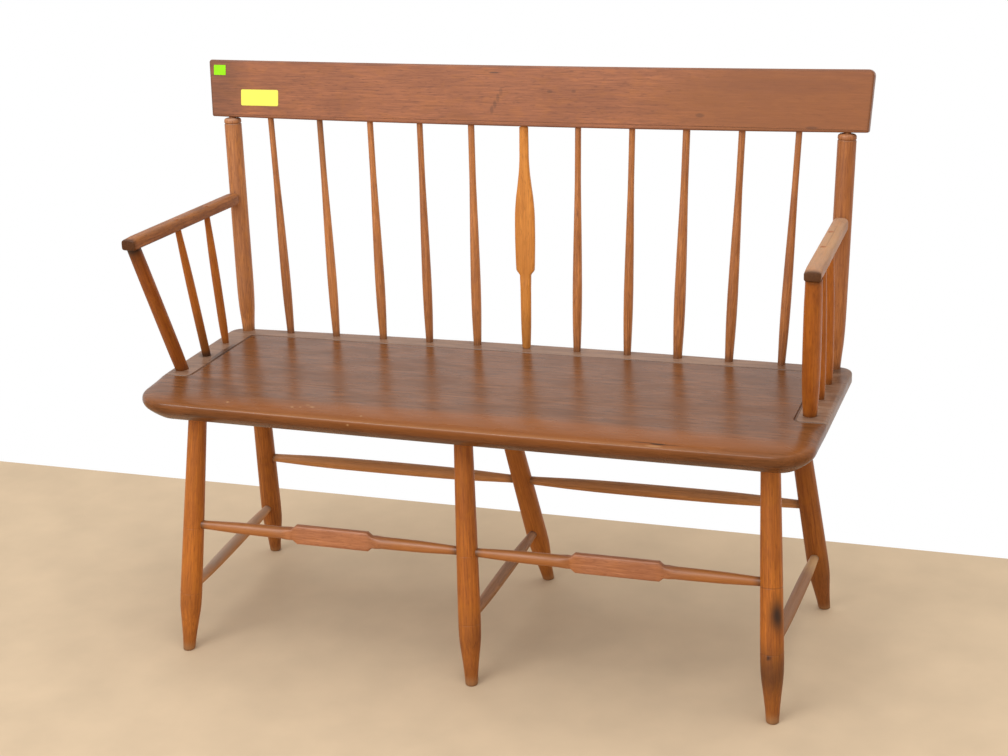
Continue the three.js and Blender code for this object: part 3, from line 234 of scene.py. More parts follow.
# Bare tenon at the foot and at the head of the arrow.
ARROW_FOOT = 0.3 * MM
ARROW_HEAD = 1 * MM
ARROW_DIRT = (0.35, 95)
# Tone and dust of each post.
POST_LOOKS = {"left": (0, 0.5), "right": (0.6, 0.2)}
# Back posts: share of the length in sight and of the growth from the foot, then the rounded cap, in
# shares of its height and of the diameter.
POST_PROFILE = [(0, 0), (0.05, 0.25), (0.12, 0.74), (0.2, 0.96), (0.28, 1)]
POST_SHOULDER = [(1, 0.985), (0.6, 0.955), (0.35, 0.9), (0.12, 0.82), (0, 0.74)]
POST_FOOT_DIRT = (0.45, 16)
POST_RING_DIRT = (0.35, 2.5)

# Arms

# Tone and dust of each arm, how much it is rubbed, and how much its top slopes down in front.
ARM_LOOKS = {"left": (0.25, 0.1, 0.03, 0.15), "right": (-0.25, 0.5, 0.45, 0.42)}
# Rear end of an arm: shares of its length, of the arm's width and of its thickness.
ARM_TAIL = [(0, 1, 1), (0.45, 0.96, 0.97), (0.75, 0.87, 0.88), (0.92, 0.72, 0.76), (1, 0.54, 0.67)]
# Turns at which the rounding of an arm's front end has a ring.
ARM_END_TURNS = (0, 20, 45, 70, 90)
# An arm is rubbed around its middle. The place and the reach are shares of its length.
ARM_WEAR_PLACE = 0.5
ARM_WEAR_REACH = 0.7
ARM_FRONT_DIRT = (0.8, 6)
ARM_TAIL_DIRT = (0.55, 8)
ARM_SPINDLE_PROFILE = [
    (0, 0.76), (0.08, 0.92), (0.2, 1), (0.45, 1), (0.62, 0.95), (0.78, 0.84), (0.9, 0.72), (1, 0.66),
]
STOUT_SPINDLE_PROFILE = [
    (0, 0.98), (0.3, 1), (0.5, 0.98), (0.62, 0.94), (0.78, 0.85), (0.9, 0.74), (1, 0.68),
]
LEFT_POST_PROFILE = [(0, 0.95), (0.15, 0.99), (0.5, 1), (0.85, 0.99), (1, 0.97)]
RIGHT_POST_PROFILE = [
    (0, 0.78), (0.02, 0.78), (0.07, 0.84), (0.16, 0.92), (0.32, 0.99), (0.5, 1), (0.8, 0.97), (1, 0.9),
]
# Foot and head of what stands under an arm, how far the head lies below the arm's axis, the tenon's
# diameter, the depth in the seat, and how high the tenon ends over the arm's axis.
ARM_SUPPORTS = {
    "post": ((518, -229.5), (531.5, -322), 10.5, 9, 20, 1),
    "front": ((520, -154), (526, -198), 0, 8.6, 16, 9.8),
    "rear": ((521, -81), (523, -100), 0, 8.6, 16, 9.8),
}
# Profile, swell, and shifts to the right of foot and head, of each left one and each right one.
ARM_SUPPORT_SHAPES = {
    "post": ((LEFT_POST_PROFILE, 22.5, -6, -4), (RIGHT_POST_PROFILE, 27.2, -5, -2)),
    "front": ((STOUT_SPINDLE_PROFILE, 14.5, 1.2, 1.2), (ARM_SPINDLE_PROFILE, 14.5, -2.4, -2.4)),
    "rear": ((ARM_SPINDLE_PROFILE, 14.5, 1.2, 1.2), (ARM_SPINDLE_PROFILE, 14.5, -2.4, -2.4)),
}
# Dirt at the foot and head of all that stands under the arms, and more of it on three of them.
SUPPORT_FOOT_DIRT = (0.55, 16)
SUPPORT_HEAD_DIRT = (0.6, 7)
LEFT_POST_HEAD_DIRT = ((0.45, 60), (0.4, 20))
RIGHT_POST_FOOT_DIRT = (0.5, 6)
LEFT_SPINDLE_FOOT_DIRT = (0.55, 110)
TENON_DIRT = 0.2
LEFT_ARM_POST_TONE = 0.5
ARM_SUPPORT_TONE = -0.3
# An arm post's body ends below the arm's axis by this share of the arm's thickness.
ARM_POST_END = 0.3
# The last key of a support's profile lies at least this far below its end.
KEY_CLEARANCE = 0.5 * MM
SUPPORT_SHOULDER = 0.2 * MM

# Stage

# Place, aim, sides and power of each lamp. The narrow strip only draws the gleam along the nose.
LAMPS = {
    "front_softbox": ((-1.6, -3.0, 2.6), (0, 0, 0.4), (2.4, 2.4), 56),
    "top_softbox": ((0.6, -0.4, 3.2), (0, 0, 0.4), (2.6, 2.6), 38),
    "gleam_strip": ((-0.95, -2.15, 2.5), (0, -0.22, 0.43), (3.2, 0.12), 105),
}
ROOM_STRENGTH = 0.78
# Corners of the floor in metres. It ends a little behind the bench.
FLOOR_CORNERS = [(-5.0, 0.464), (-5.0, -6.0), (6.0, -6.0), (6.0, 0.407)]
# Roughness and gloss.
PAPER_LOOK = (0.6, 0.15)
FLOOR_LOOK = (0.75, 0.5)


def size(name, description, millimetres):
    """A length that the panel shows, given here in millimetres."""
    return FloatProperty(name=name, description=description, default=millimetres * MM, unit="LENGTH")


def turn(name, description, degrees):
    """An angle that the panel shows, given here in degrees."""
    return FloatProperty(
        name=name, description=description, default=math.radians(degrees), subtype="ANGLE"
    )


def linear(hex_colour):
    """Linear colour of an sRGB hex value."""
    levels = [int(hex_colour[place:place + 2], 16) / 255 for place in (1, 3, 5)]
    return tuple(
        level / 12.92 if level <= 0.04045 else ((level + 0.055) / 1.055) ** 2.4 for level in levels
    )


def shade(name, description, hex_colour):
    """A colour that the panel shows, given here as sRGB hex."""
    return FloatVectorProperty(
        name=name, description=description, default=linear(hex_colour), size=3, subtype="COLOR"
    )


class SeatSizes(bpy.types.PropertyGroup):
    """Plank of the seat, its rolled front and its scored line."""

    height: size("Height", "Top of the seat at the row of spindles", 432)
    fall: turn("Fall", "How far the seat falls towards the back", 2)
    thickness: size("Thickness", "Thickness of the plank", 39)
    rear_half: size("Rear half width", "Half of the seat's width at the back", 546)
    front_half: size("Front half width", "Half of the seat's width at the front", 542)
    rear_middle: size("Rear reach", "How far the seat reaches behind the spindles in the middle", 22)
    rear_end: size("Rear reach at ends", "How far it reaches behind the posts", 10)
    front_left: size("Left front reach", "How far the left end reaches in front of the spindles", 388)
    front_right: size("Right front reach", "How far the right end reaches in front", 404)
    bow: size("Bow", "How far the front edge bows out", 3)
    corner_left: size("Left corner", "Radius of the left front corner", 67)
    corner_right: size("Right corner", "Radius of the right front corner", 56)
    rear_corner: size("Rear corners", "Radius of the rear corners", 24)
    edge: size("Edge rounding", "Rounding along the ends and the back", 5)
    end_undercut: size("End undercut", "How far the underside is cut back along the ends", 20)
    roll: size("Front roll", "Depth of the rolled front edge", 58)
    undercut: size("Front undercut", "How far the underside is cut back in front", 26)
    roll_start: size("Roll start", "How far behind the front the roll starts along the ends", 130)
    roll_growth: size("Roll growth", "Length along the ends over which the roll grows", 85)
    score_width: size("Line width", "Width of the scored line", 5)
    score_depth: size("Line depth", "Depth of the scored line", 2)
    score_corner: size("Line corner", "Radius of the line's rear corners", 11)
    score_bend: size("Line bend", "How far the line bends out and forward at its front ends", 10)
    score_run: size("Line run", "How far the cut of its front ends runs out over the edge", 60)
    score_inset: size("Line inset", "How far the line runs in front of the spindles", 27)
    score_half: size("Line half length", "Half of the line's length", 495)
    score_front: size("Line front", "How far forward the line runs along the ends", 256)


class LegSizes(bpy.types.PropertyGroup):
    """The six turned legs."""

    head_height: size("Head height", "Height at which a leg's line is set out", 415)
    swell: size("Swell", "Widest diameter of a leg", 35.6)
    socket: size("Socket", "How deep a leg goes into the seat", 25)
    ring_below: size("Ring place", "How far a scored ring lies below a stretcher's middle", 5)
    ring_depth: size("Ring depth", "Depth of a scored ring", 0.3)
    ring_width: size("Ring width", "Width of a scored ring", 2.0)
    sole_rounding: size("Sole rounding", "Rounding around the sole of a foot", 1.2)


class StretcherSizes(bpy.types.PropertyGroup):
    """The seven stretchers between the legs."""

    end: size("End", "Diameter where a stretcher enters a leg", 14.2)
    rear_swell: size("Rear swell", "Widest diameter of a rear stretcher", 21.8)
    side_swell: size("Side swell", "Widest diameter of a side stretcher", 19.6)
    front_swell: size("Front swell", "Diameter of a front stretcher beside its paddle", 19.8)
    tenon: size("Tenon", "How deep a stretcher goes into a leg", 12)
    paddle_height: size("Paddle height", "Height of the flat paddle", 32.6)
    paddle_thickness: size("Paddle thickness", "Thickness of the flat paddle", 13)
    left_paddle: size("Left paddle", "Length of the left paddle", 123)
    right_paddle: size("Right paddle", "Length of the right paddle", 132)
    left_shift: size("Left shift", "How far the left paddle lies past its stretcher's middle", 9.5)
    right_shift: size("Right shift", "How far the right paddle lies past the middle", 3)
    shoulder: size("Shoulder", "Length of the paddle's shoulders", 7)


class BackSizes(bpy.types.PropertyGroup):
    """Back spindles, the flat arrow and the two posts."""

    lean: size("Lean", "How far the heads lie behind the seat ends of the spindles", 33)
    seat_pitch: size("Pitch at seat", "Spacing of the spindles at the seat", 86.6)
    head_pitch: size("Pitch at crest", "Spacing of the spindles at the crest", 90.3)
    seat_socket: size("Seat socket", "How deep a spindle goes into the seat", 18)
    head_socket: size("Crest socket", "How deep a spindle goes into the crest", 15)
    arrow_width: size("Arrow width", "Width of the flat arrow", 34)
    arrow_thickness: size("Arrow thickness", "Thickness of the flat arrow", 10.5)
    arrow_stem: size("Arrow stem", "Diameter of the arrow's stem", 18.4)
    arrow_neck: size("Arrow neck", "Width of the arrow's neck", 15.2)
    arrow_neck_thickness: size("Arrow neck thickness", "Thickness of the neck", 11)
    arrow_tenon: size("Arrow tenon", "Diameter of the arrow's tenons", 11)
    post_seat: size("Post at seat", "How far a post stands from the middle, at the seat", 515)
    post_head: size("Post at crest", "How far a post stands from the middle, at the crest", 524)
    post: size("Post", "Diameter of a post", 29.6)
    post_foot: size("Post foot", "Diameter of a post at the seat", 21.4)
    post_tenon: size("Post tenon", "Diameter of the tenon in the crest", 12)
    post_socket: size("Post socket", "How deep a post goes into the seat", 20)
    post_head_socket: size("Post head socket", "How deep a post goes into the crest", 22)
    post_neck: size("Post neck", "Length of bare tenon under the crest", 1.8)
    post_cap: size("Post cap", "Height of the rounded shoulder of a post", 4)
    post_ring_width: size("Post ring width", "Width of the scored ring", 3)
    post_ring_depth: size("Post ring depth", "Depth of the scored ring", 0.9)
    post_ring: size("Post ring", "How far the scored ring lies below the crest", 9)


class CrestSizes(bpy.types.PropertyGroup):
    """The crest rail, a board that leans back."""

    lean: turn("Lean", "How far the crest leans back", 11)
    thickness: size("Thickness", "Thickness of the crest", 22)
    top_half: size("Top half length", "Half of its length along the top", 562)
    bottom_half: size("Bottom half length", "Half of its length along the bottom", 557)
    width: size("Width", "Width of the board in the middle", 97.5)
    bottom_height: size("Bottom height", "Height of its lower front edge", 805)
    front: size("Front", "How far its lower front edge lies behind the seat's spindle row", 22.4)
    bottom_sag: size("Bottom hollow", "How much the lower edge rises at the ends", 4)
    top_sag: size("Top hollow", "How much the top edge rises at the ends", 2.4)
    top_left: size("Top left corner", "Radius of the top left corner", 5)
    top_right: size("Top right corner", "Radius of the top right corner", 10)
    bottom_corner: size("Bottom corners", "Radius of the bottom corners", 3)
    arris: size("Arris", "Rounding of the long edges", 1.8)


class ArmSizes(bpy.types.PropertyGroup):
    """The arms with what carries them."""

    front_x: size("Front end across", "How far an arm's front end lies from the middle", 531)
    left_front: size("Left front end", "How far in front of the spindles the left arm starts", 340)
    right_front: size("Right front end", "How far in front of the spindles the right arm starts", 334)
    shift: size("Shift", "How far the left arm's front end is shifted to the left, the right one's half", 4)
    left_height: size("Left front height", "Height of the left arm's front end", 683)
    right_height: size("Right front height", "Height of the right arm's front end", 687)
    rear_height: size("Rear height", "Height at which an arm meets its post", 669.5)
    width: size("Width", "Width of an arm", 24.4)
    thickness: size("Thickness", "Thickness of an arm", 19.4)
    rounding: size("End rounding", "Rounding of an arm's front end", 2.6)
    nose: size("Nose", "Length over which the top slopes down to the front end", 26)
    tail: size("Tail", "Length of the rounded rear end", 14)
    tenon: size("Tenon", "Diameter of an arm's tenon in its post", 12)
    tenon_length: size("Tenon length", "Length of an arm's tenon", 15)
    gap: size("Gap", "Bare tenon between an arm and its post", 0.5)


class LabelSizes(bpy.types.PropertyGroup):
    """Two blank paper labels on the crest."""

    green_width: size("Green width", "Width of the green label", 22)
    green_height: size("Green height", "Height of the green label", 17)
    green_x: size("Green across", "Middle of the green label from the middle of the crest", -542)
    green_rise: size("Green rise", "Middle of the green label above the crest's lower edge", 82.5)
    yellow_width: size("Yellow width", "Width of the yellow label", 69)
    yellow_height: size("Yellow height", "Height of the yellow label", 27)
    yellow_x: size("Yellow across", "Middle of the yellow label from the middle of the crest", -467.5)
    yellow_rise: size("Yellow rise", "Middle of the yellow label above the lower edge", 37)
    green_corner: size("Green corner", "Radius of the green label's corners", 1)
    yellow_corner: size("Yellow corner", "Radius of the yellow label's corners", 2.5)
    thickness: size("Thickness", "Thickness of a label", 0.5)


class FinishColours(bpy.types.PropertyGroup):
    """Colours of the finishes, light and dark of each grain."""

    seat_light: shade("Seat light", "Worn varnish of the seat", "#8a5630")
    seat_dark: shade("Seat dark", "Dark streaks of the seat", "#57341a")
    seat_roll: shade("Seat roll", "Rubbed orange brown of the rolled front edge", "#935524")
    crest_light: shade("Crest light", "Light grain of the crest", "#b26c41")
    crest_dark: shade("Crest dark", "Dark streaks of the crest", "#7b4629")
    leg_light: shade("Leg light", "Light grain of the front legs", "#d27c2c")
    leg_dark: shade("Leg dark", "Dark grain of the front legs", "#8d4a17")
    rear_leg_light: shade("Rear leg light", "Light grain of the rear legs", "#c07331")
    rear_leg_dark: shade("Rear leg dark", "Dark grain of the rear legs", "#7c4319")
    spindle_light: shade("Spindle light", "Light grain of the spindles", "#dc9052")
    spindle_dark: shade("Spindle dark", "Dark grain of the spindles", "#8a4f27")
    arrow_light: shade("Arrow light", "Light grain of the arrow", "#e99a42")
    arrow_dark: shade("Arrow dark", "Dark grain of the arrow", "#bd722a")
    post_light: shade("Post light", "Light grain of the posts", "#d58948")
    post_dark: shade("Post dark", "Dark grain of the posts", "#884b22")
    arm_light: shade("Arm light", "Worn wood of the arms", "#b8723c")
    arm_dark: shade("Arm dark", "Dark grain of the arms", "#6e3d1c")
    arm_post_light: shade("Arm post light", "Light grain of the arm posts", "#c8742a")
    arm_post_dark: shade("Arm post dark", "Dark grain of the arm posts", "#713616")
    paddle_light: shade("Paddle light", "Light grain of the front stretchers", "#cd8a60")
    paddle_dark: shade("Paddle dark", "Dark grain of the front stretchers", "#965a38")
    stretcher_light: shade("Stretcher light", "Light grain of the other stretchers", "#d8955a")
    stretcher_dark: shade("Stretcher dark", "Dark grain of the other stretchers", "#7a4c28")
    amber: shade("Amber", "Yellower patches of old shellac", "#b96f1c")
    # This colour also paints the shade on the seat's lower edge, under the nose.
    soot: shade("Soot", "Dark marks and end grain", "#3a2417")
    # This colour also paints the highlight along the seat's nose.
    bare: shade("Bare wood", "Wood where the finish is rubbed off", "#c49a6c")
    dust: shade("Dust", "Dust and dull film on what faces up", "#b59a86")
    green: shade("Green paper", "Colour of the green label", "#9aea00")
    yellow: shade("Yellow paper", "Colour of the yellow label", "#f6f466")
    floor: shade("Floor", "Colour of the floor", "#d2b999")
    background: shade("Background", "Colour of the background", "#ffffff")
    room: shade("Room light", "Faintly warm light from all around", "#fffdf9")


class StageSettings(bpy.types.PropertyGroup):
    """Camera and light."""

    camera: FloatVectorProperty(
        name="Camera", description="Place of the camera", default=(0.8886, -2.5473, 1.423), size=3,
        subtype="TRANSLATION", unit="LENGTH",
    )
    yaw: turn("Yaw", "How far the camera turns to the left", 18.897)
    pitch: turn("Pitch", "How far the camera looks down", 20.046)
    roll: turn("Roll", "How far the camera is rolled", -2.634)
    focal_pixels: FloatProperty(
        name="Focal length in pixels", description="Focal length for the image width", default=1796.1
    )


class BenchSettings(bpy.types.PropertyGroup):
    """Everything that the panel lists."""

    seat: PointerProperty(type=SeatSizes, name="Seat", description="Sizes of the seat")
    legs: PointerProperty(type=LegSizes, name="Legs", description="Sizes of the legs")
    stretchers: PointerProperty(
        type=StretcherSizes, name="Stretchers", description="Sizes of the stretchers"
    )
    back: PointerProperty(type=BackSizes, name="Back", description="Sizes of the back")
    crest: PointerProperty(type=CrestSizes, name="Crest", description="Sizes of the crest")
    arms: PointerProperty(type=ArmSizes, name="Arms", description="Sizes of the arms")
    labels: PointerProperty(type=LabelSizes, name="Labels", description="Sizes of the labels")
    colours: PointerProperty(type=FinishColours, name="Colours", description="Colours of the finishes")
    stage: PointerProperty(type=StageSettings, name="Stage", description="Camera and light")


# Shapes

def row_point(x, y, z):
    """Point given in millimetres from the middle spindle, in the row's frame."""
    return Vector((x * MM, y * MM + SPINDLE_ROW, z * MM))


def fair_value(keys, column, place):
    """Value of one column at a place, on a smooth curve through the keys that never overshoots."""
    index = 0
    while index + 2 < len(keys) and keys[index + 1][0] < place:
        index += 1
    slopes = {}
    for left in range(max(index - 1, 0), min(index + 2, len(keys) - 1)):
        run = keys[left + 1][0] - keys[left][0]
        slopes[left] = (keys[left + 1][column] - keys[left][column]) / run if run else 0
    here = slopes[index]
    ends = []
    for neighbour in (index - 1, index + 1):
        if neighbour in slopes:
            other = slopes[neighbour]
            ends.append(2 * here * other / (here + other) if here * other > 0 else 0)
        else:
            ends.append(here)
    run = keys[index + 1][0] - keys[index][0]
    share = min(max((place - keys[index][0]) / run, 0), 1) if run else 0
    low, high = keys[index][column], keys[index + 1][column]
    rise = share * share * (3 - 2 * share)
    return (
        low + (high - low) * rise
        + run * ends[0] * share * (1 - share) ** 2
        - run * ends[1] * share * share * (1 - share)
    )


def fair_stations(keys, spacing, grooves=()):
    """Stations along a piece, close enough to look smooth. A groove is (place, half width, depth)."""
    places = set()
    for left, right in zip(keys, keys[1:]):
        steps = max(1, math.ceil((right[0] - left[0]) / spacing))
        for step in range(steps):
            places.add(left[0] + (right[0] - left[0]) * step / steps)
    places.add(keys[-1][0])
    for place, half, _ in grooves:
        places = {other for other in places if abs(other - place) > half * GROOVE_CLEARANCE}
        places.update(place + half * share for share in GROOVE_SHARES)
    stations = []
    for place in sorted(places):
        values = [fair_value(keys, column, place) for column in range(1, len(keys[0]))]
        for groove, half, depth in grooves:
            cut = depth * max(0, 1 - ((place - groove) / half) ** 2)
            values[0] -= cut
            values[1] -= cut
        stations.append((place, *values))
    return stations


def piece_axes(start, end):
    """Matrix of a piece whose own Z runs from start to end. Its X stays as near the row's X as it can."""
    along = (end - start).normalized()
    guide = Vector((0, -1, 0)) if abs(along.x) > math.sqrt(0.5) else Vector((1, 0, 0))
    across = (guide - along * guide.dot(along)).normalized()
    up = along.cross(across)
    axes = Matrix((across, up, along)).transposed().to_4x4()
    axes.translation = start
    return axes


def finish_piece(name, mesh, material, axes=None, tone=0.0, dust=0.0):
    """Link a new mesh as the piece that stands for the node of its name."""
    piece = bpy.data.objects.new(f"wood_{name}", mesh)
    bpy.context.scene.collection.objects.link(piece)
    if axes is not None:
        piece.matrix_world = axes
    mesh.materials.append(material)
    for face in mesh.polygons:
        face.use_smooth = True
    mesh.set_sharp_from_angle(angle=SHARP_EDGE)
    number = sum(ord(letter) * (index + 3) for index, letter in enumerate(name))
    piece["grain_shift"] = tuple(number % cycle * step for cycle, step in GRAIN_SHIFTS)
    piece["tone"] = tone
    piece["dust"] = dust
    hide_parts(name)
    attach(piece, "root")
    return piece


def ring_piece(name, axes, stations, sides, marks, planes=()):
    """Closed mesh of rings along its own Z. A plane (ring, point, normal) slides one ring onto it.

    Marks gives the wear and soot of a point from its place in the row and along the piece.
    """
    work = bmesh.new()
    worn = work.verts.layers.float.new("worn")
    soot = work.verts.layers.float.new("soot")
    inward = axes.inverted()
    rings = []
    for place, half_across, half_up, exponent, *flatter in stations:
        ring = []
        for side in range(sides):
            angle = 2 * math.pi * side / sides
            power = 2 / (flatter[0] if flatter and math.sin(angle) > 0 else exponent)
            spots = []
            for half, wave in ((half_across, math.cos(angle)), (half_up, math.sin(angle))):
                spots.append(math.copysign(half * abs(wave) ** power, wave))
            ring.append(work.verts.new((*spots, place)))
        rings.append(ring)
    for ring, point, normal in planes:
        spot = inward @ point
        facing = inward.to_3x3() @ normal
        for vertex in rings[ring]:
            vertex.co.z += facing.dot(spot - vertex.co) / facing.z
    for lower, upper in zip(rings, rings[1:]):
        for side in range(sides):
            after = (side + 1) % sides
            work.faces.new((lower[side], lower[after], upper[after], upper[side]))
    work.faces.new(list(reversed(rings[0])))
    work.faces.new(rings[-1])
    for vertex in work.verts:
        vertex[worn], vertex[soot] = marks(axes @ vertex.co, vertex.co.z)
    mesh = bpy.data.meshes.new(name)
    work.to_mesh(mesh)
    work.free()
    return mesh


def round_station(place, diameter):
    """Station of a round section: its place, half its size each way, and the exponent of a circle."""
    return (place, diameter / 2, diameter / 2, 2)


def fade(distance, reach):
    """One at nothing, falling smoothly to nothing at the reach."""
    share = min(max(1 - distance / reach, 0), 1)
    return share * share * (3 - 2 * share)


def stain(mark, distance):
    """Strength of a stain or rubbed place at a distance from its middle."""
    strength, reach = mark
    return strength * fade(distance, reach * MM)


def arc_points(centre, radius, from_degrees, to_degrees, steps):
    """Points of an arc, without its first one."""
    points = []
    for step in range(1, steps + 1):
        angle = math.radians(from_degrees + (to_degrees - from_degrees) * step / steps)
        points.append((centre[0] + radius * math.cos(angle), centre[1] + radius * math.sin(angle)))
    return points


def layered_mesh(name, outline, insets, drops, place, soot_and_shade_layers=None, wear_and_gleam_layers=None):
    """Board made of layers of one outline. Each layer lies insets inside it and drops below the face."""
    work = bmesh.new()
    # Soot per point holds dark marks, and on the seat's lower edge painted shade.
    soot = work.verts.layers.float.new("soot")
    # Worn per point holds rubbed wood, and along the seat's nose a painted highlight, partly rubbed finish.
    worn = work.verts.layers.float.new("worn")
    count = len(outline)
    inward = []
    for index, _ in enumerate(outline):
        before, after = Vector(outline[index - 1]), Vector(outline[(index + 1) % count])
        edge = (after - before).normalized()
        inward.append((-edge.y, edge.x))
    layers = []
    for number, (inset, drop) in enumerate(zip(insets, drops)):
        layer = []
        for index, (x, y) in enumerate(outline):
            spot = place(
                x + inward[index][0] * inset[index], y + inward[index][1] * inset[index], drop[index]
            )
            vertex = work.verts.new(spot)
            vertex[soot] = soot_and_shade_layers[number][index] if soot_and_shade_layers else 0
            vertex[worn] = wear_and_gleam_layers[number][index] if wear_and_gleam_layers else 0
            layer.append(vertex)
        layers.append(layer)
    for upper, lower in zip(layers, layers[1:]):
        for index in range(count):
            after = (index + 1) % count
            work.faces.new((upper[index], lower[index], lower[after], upper[after]))
    work.faces.new(layers[0])
    work.faces.new(list(reversed(layers[-1])))
    mesh = bpy.data.meshes.new(name)
    work.to_mesh(mesh)
    work.free()
    return mesh


def carve(piece, cutters):
    """Cut shapes out of a piece, and leave the cut faces in the cutters' own finish."""
    for cutter in cutters:
        change = piece.modifiers.new("cut", "BOOLEAN")
        change.operation = "DIFFERENCE"
        change.solver = "EXACT"
        change.material_mode = "TRANSFER"
        change.object = cutter
    bpy.context.view_layer.update()
    shaped = piece.evaluated_get(bpy.context.evaluated_depsgraph_get())
    carved = bpy.data.meshes.new_from_object(shaped)
    piece.modifiers.clear()
    old = piece.data
    piece.data = carved
    bpy.data.meshes.remove(old)
    for cutter in cutters:
        mesh = cutter.data
        bpy.data.objects.remove(cutter)
        bpy.data.meshes.remove(mesh)


# Finishes

# Noises of the wood: width and length in millimetres, detail and twist.
CLOUD_GRAIN = (38, 90, 3.0, 0.6)
PATCH_GRAIN = (16, 34, 2.0, 0.8)
GRAIN_ROUGHNESS = 0.6
# The fine grain is narrower and shorter than the streaks by these factors.
FINE_NARROWER = 3
FINE_SHORTER = 2
# Detail and twist of the fine grain and of the pores.
FINE_GRAIN = (3.0, 0.1)
PORE_GRAIN = (2.0, 0.0)
# Shares of the streaks and of the fine grain in the wood's figure.
STREAK_SHARE = 0.55
FINE_SHARE = 0.45
# Half of the figure's range from dark to light, before the contrast divides it.
RAMP_HALF = 0.13
# How bright a pore is against the dark grain.
PORE_SHADE = 0.6
# How a pattern turns into an effect: its low and high value, and the effect at each of them.
PORE_EFFECT = (0.56, 0.7, 0, 0.6)
DARK_TONE = (0, 1, 0, 0.7)
LIGHT_TONE = (0, -1, 0, 0.7)
DUST_CLOUDS = (0.25, 0.6, 0.5, 1)
SEAT_DUST_GRAIN = (0.4, 0.56, 0.35, 1)
RUB_CLOUDS = (0.3, 0.6, 0.6, 1)
# Only the low and high value: the effect goes from nothing to what each wood names.
CLOUD_RANGE = (0.42, 0.7)
PATCH_RANGE = (0.48, 0.66)
FACING_UP = (-0.1, 0.9)
ROUGHNESS_RANGE = (0.3, 0.7)
# Roughness is this much under and over its mean value, and dust adds to it.
ROUGHNESS_UNDER = 0.04
ROUGHNESS_OVER = 0.08
DUST_ROUGHNESS = 0.3
SEAT_DUST = 0.45
GROOVE_SOOT = 0.4
BUMP_STRENGTH = 0.3
BUMP_DEPTH = 0.2 * MM
SHELLAC_IOR = 1.5
# A mark is full up to this share of its reach.
MARK_CORE = 0.55
# Where the seat's border starts and is full, in millimetres past the scored line's sides, its rear
# part and its front ends.
BORDER_EDGES = {"side": (-1, 3), "rear": (-3, 1), "front": (-12, -8)}
# Paper and floor have faint clouds, nine to a metre and this share as bright.
PLAIN_CLOUD = 1000 / 9
PLAIN_DETAIL = 3.0
PLAIN_RANGE = (0.3, 0.7)
PLAIN_SHADE = 0.9


def add_node(tree, kind, settings=(), links=()):
    """Add a node. Settings fill its inputs or its own values, links join its inputs to outputs."""
    node = tree.nodes.new(kind)
    for name, value in dict(settings).items():
        if name == "ramp":
            stops = node.color_ramp.elements
            while len(stops) < len(value):
                stops.new(1)
            for stop, (place, colour) in zip(stops, value):
                stop.position = place
                stop.color = (*colour[:3], 1)
        elif isinstance(name, int) or not hasattr(node, name):
            node.inputs[name].default_value = value
        else:
            setattr(node, name, value)
    for name, source in dict(links).items():
        tree.links.new(source, node.inputs[name])
    return node


def new_finish(name):
    """Material with an empty tree and its shader."""
    material = bpy.data.materials.new(name)
    material.use_nodes = True
    tree = material.node_tree
    tree.nodes.clear()
    shader = add_node(tree, "ShaderNodeBsdfPrincipled")
    add_node(tree, "ShaderNodeOutputMaterial", links={"Surface": shader.outputs["BSDF"]})
    return material, tree, shader


def blended(tree, share, first, second):
    """Output of a colour mix. Each colour is an output or a plain colour."""
    settings, links = {"data_type": "RGBA"}, {}
    for socket, value in ((0, share), (6, first), (7, second)):
        if isinstance(value, bpy.types.NodeSocket):
            links[socket] = value
        else:
            settings[socket] = value if socket == 0 else (*value[:3], 1)
    return add_node(tree, "ShaderNodeMix", settings, links).outputs[2]


def measured(tree, source, low, high, to_low=0.0, to_high=1.0):
    """Output that turns a range of values into another one."""
    settings = {"From Min": low, "From Max": high, "To Min": to_low, "To Max": to_high}
    return add_node(tree, "ShaderNodeMapRange", settings, {"Value": source}).outputs["Result"]


def grain_pattern(tree, spots, lengthwise, width, length, detail=5.0, twist=0.3):
    """Noise drawn out along the grain, width by length in millimetres."""
    scale = [1 / (width * MM)] * 3
    scale[lengthwise] = 1 / (length * MM)
    mapping = add_node(tree, "ShaderNodeMapping", {"Scale": scale}, {"Vector": spots})
    settings = {"Scale": 1.0, "Detail": detail, "Roughness": GRAIN_ROUGHNESS, "Distortion": twist}
    return add_node(
        tree, "ShaderNodeTexNoise", settings, {"Vector": mapping.outputs["Vector"]}
    ).outputs["Fac"]


def product(tree, *values):
    """Output of several values multiplied. Each is an output or a number."""
    result = values[0]
    for value in values[1:]:
        settings, links = {"operation": "MULTIPLY"}, {}
        for socket, factor in ((0, result), (1, value)):
            (links if isinstance(factor, bpy.types.NodeSocket) else settings)[socket] = factor
        result = add_node(tree, "ShaderNodeMath", settings, links).outputs[0]
    return result


def piece_value(tree, name, output="Fac"):
    """Output of a value that a piece carries for its finish."""
    settings = {"attribute_type": "OBJECT", "attribute_name": name}
    return add_node(tree, "ShaderNodeAttribute", settings).outputs[output]


def mesh_value(tree, name):
    """Output of a value that the points or faces of a mesh carry."""
    return add_node(tree, "ShaderNodeAttribute", {"attribute_name": name}).outputs["Fac"]


def spot_mask(tree, place, centre, reach):
    """One in the middle of an ellipsoid, nothing outside. Centre and reach are in millimetres."""
    settings = {
        "vector_type": "TEXTURE",
        "Location": [value * MM for value in centre],
        "Scale": [value * MM for value in reach],
    }
    moved = add_node(tree, "ShaderNodeMapping", settings, {"Vector": place}).outputs["Vector"]
    length = add_node(tree, "ShaderNodeVectorMath", {"operation": "LENGTH"}, {0: moved})
    return measured(tree, length.outputs["Value"], MARK_CORE, 1, 1, 0)


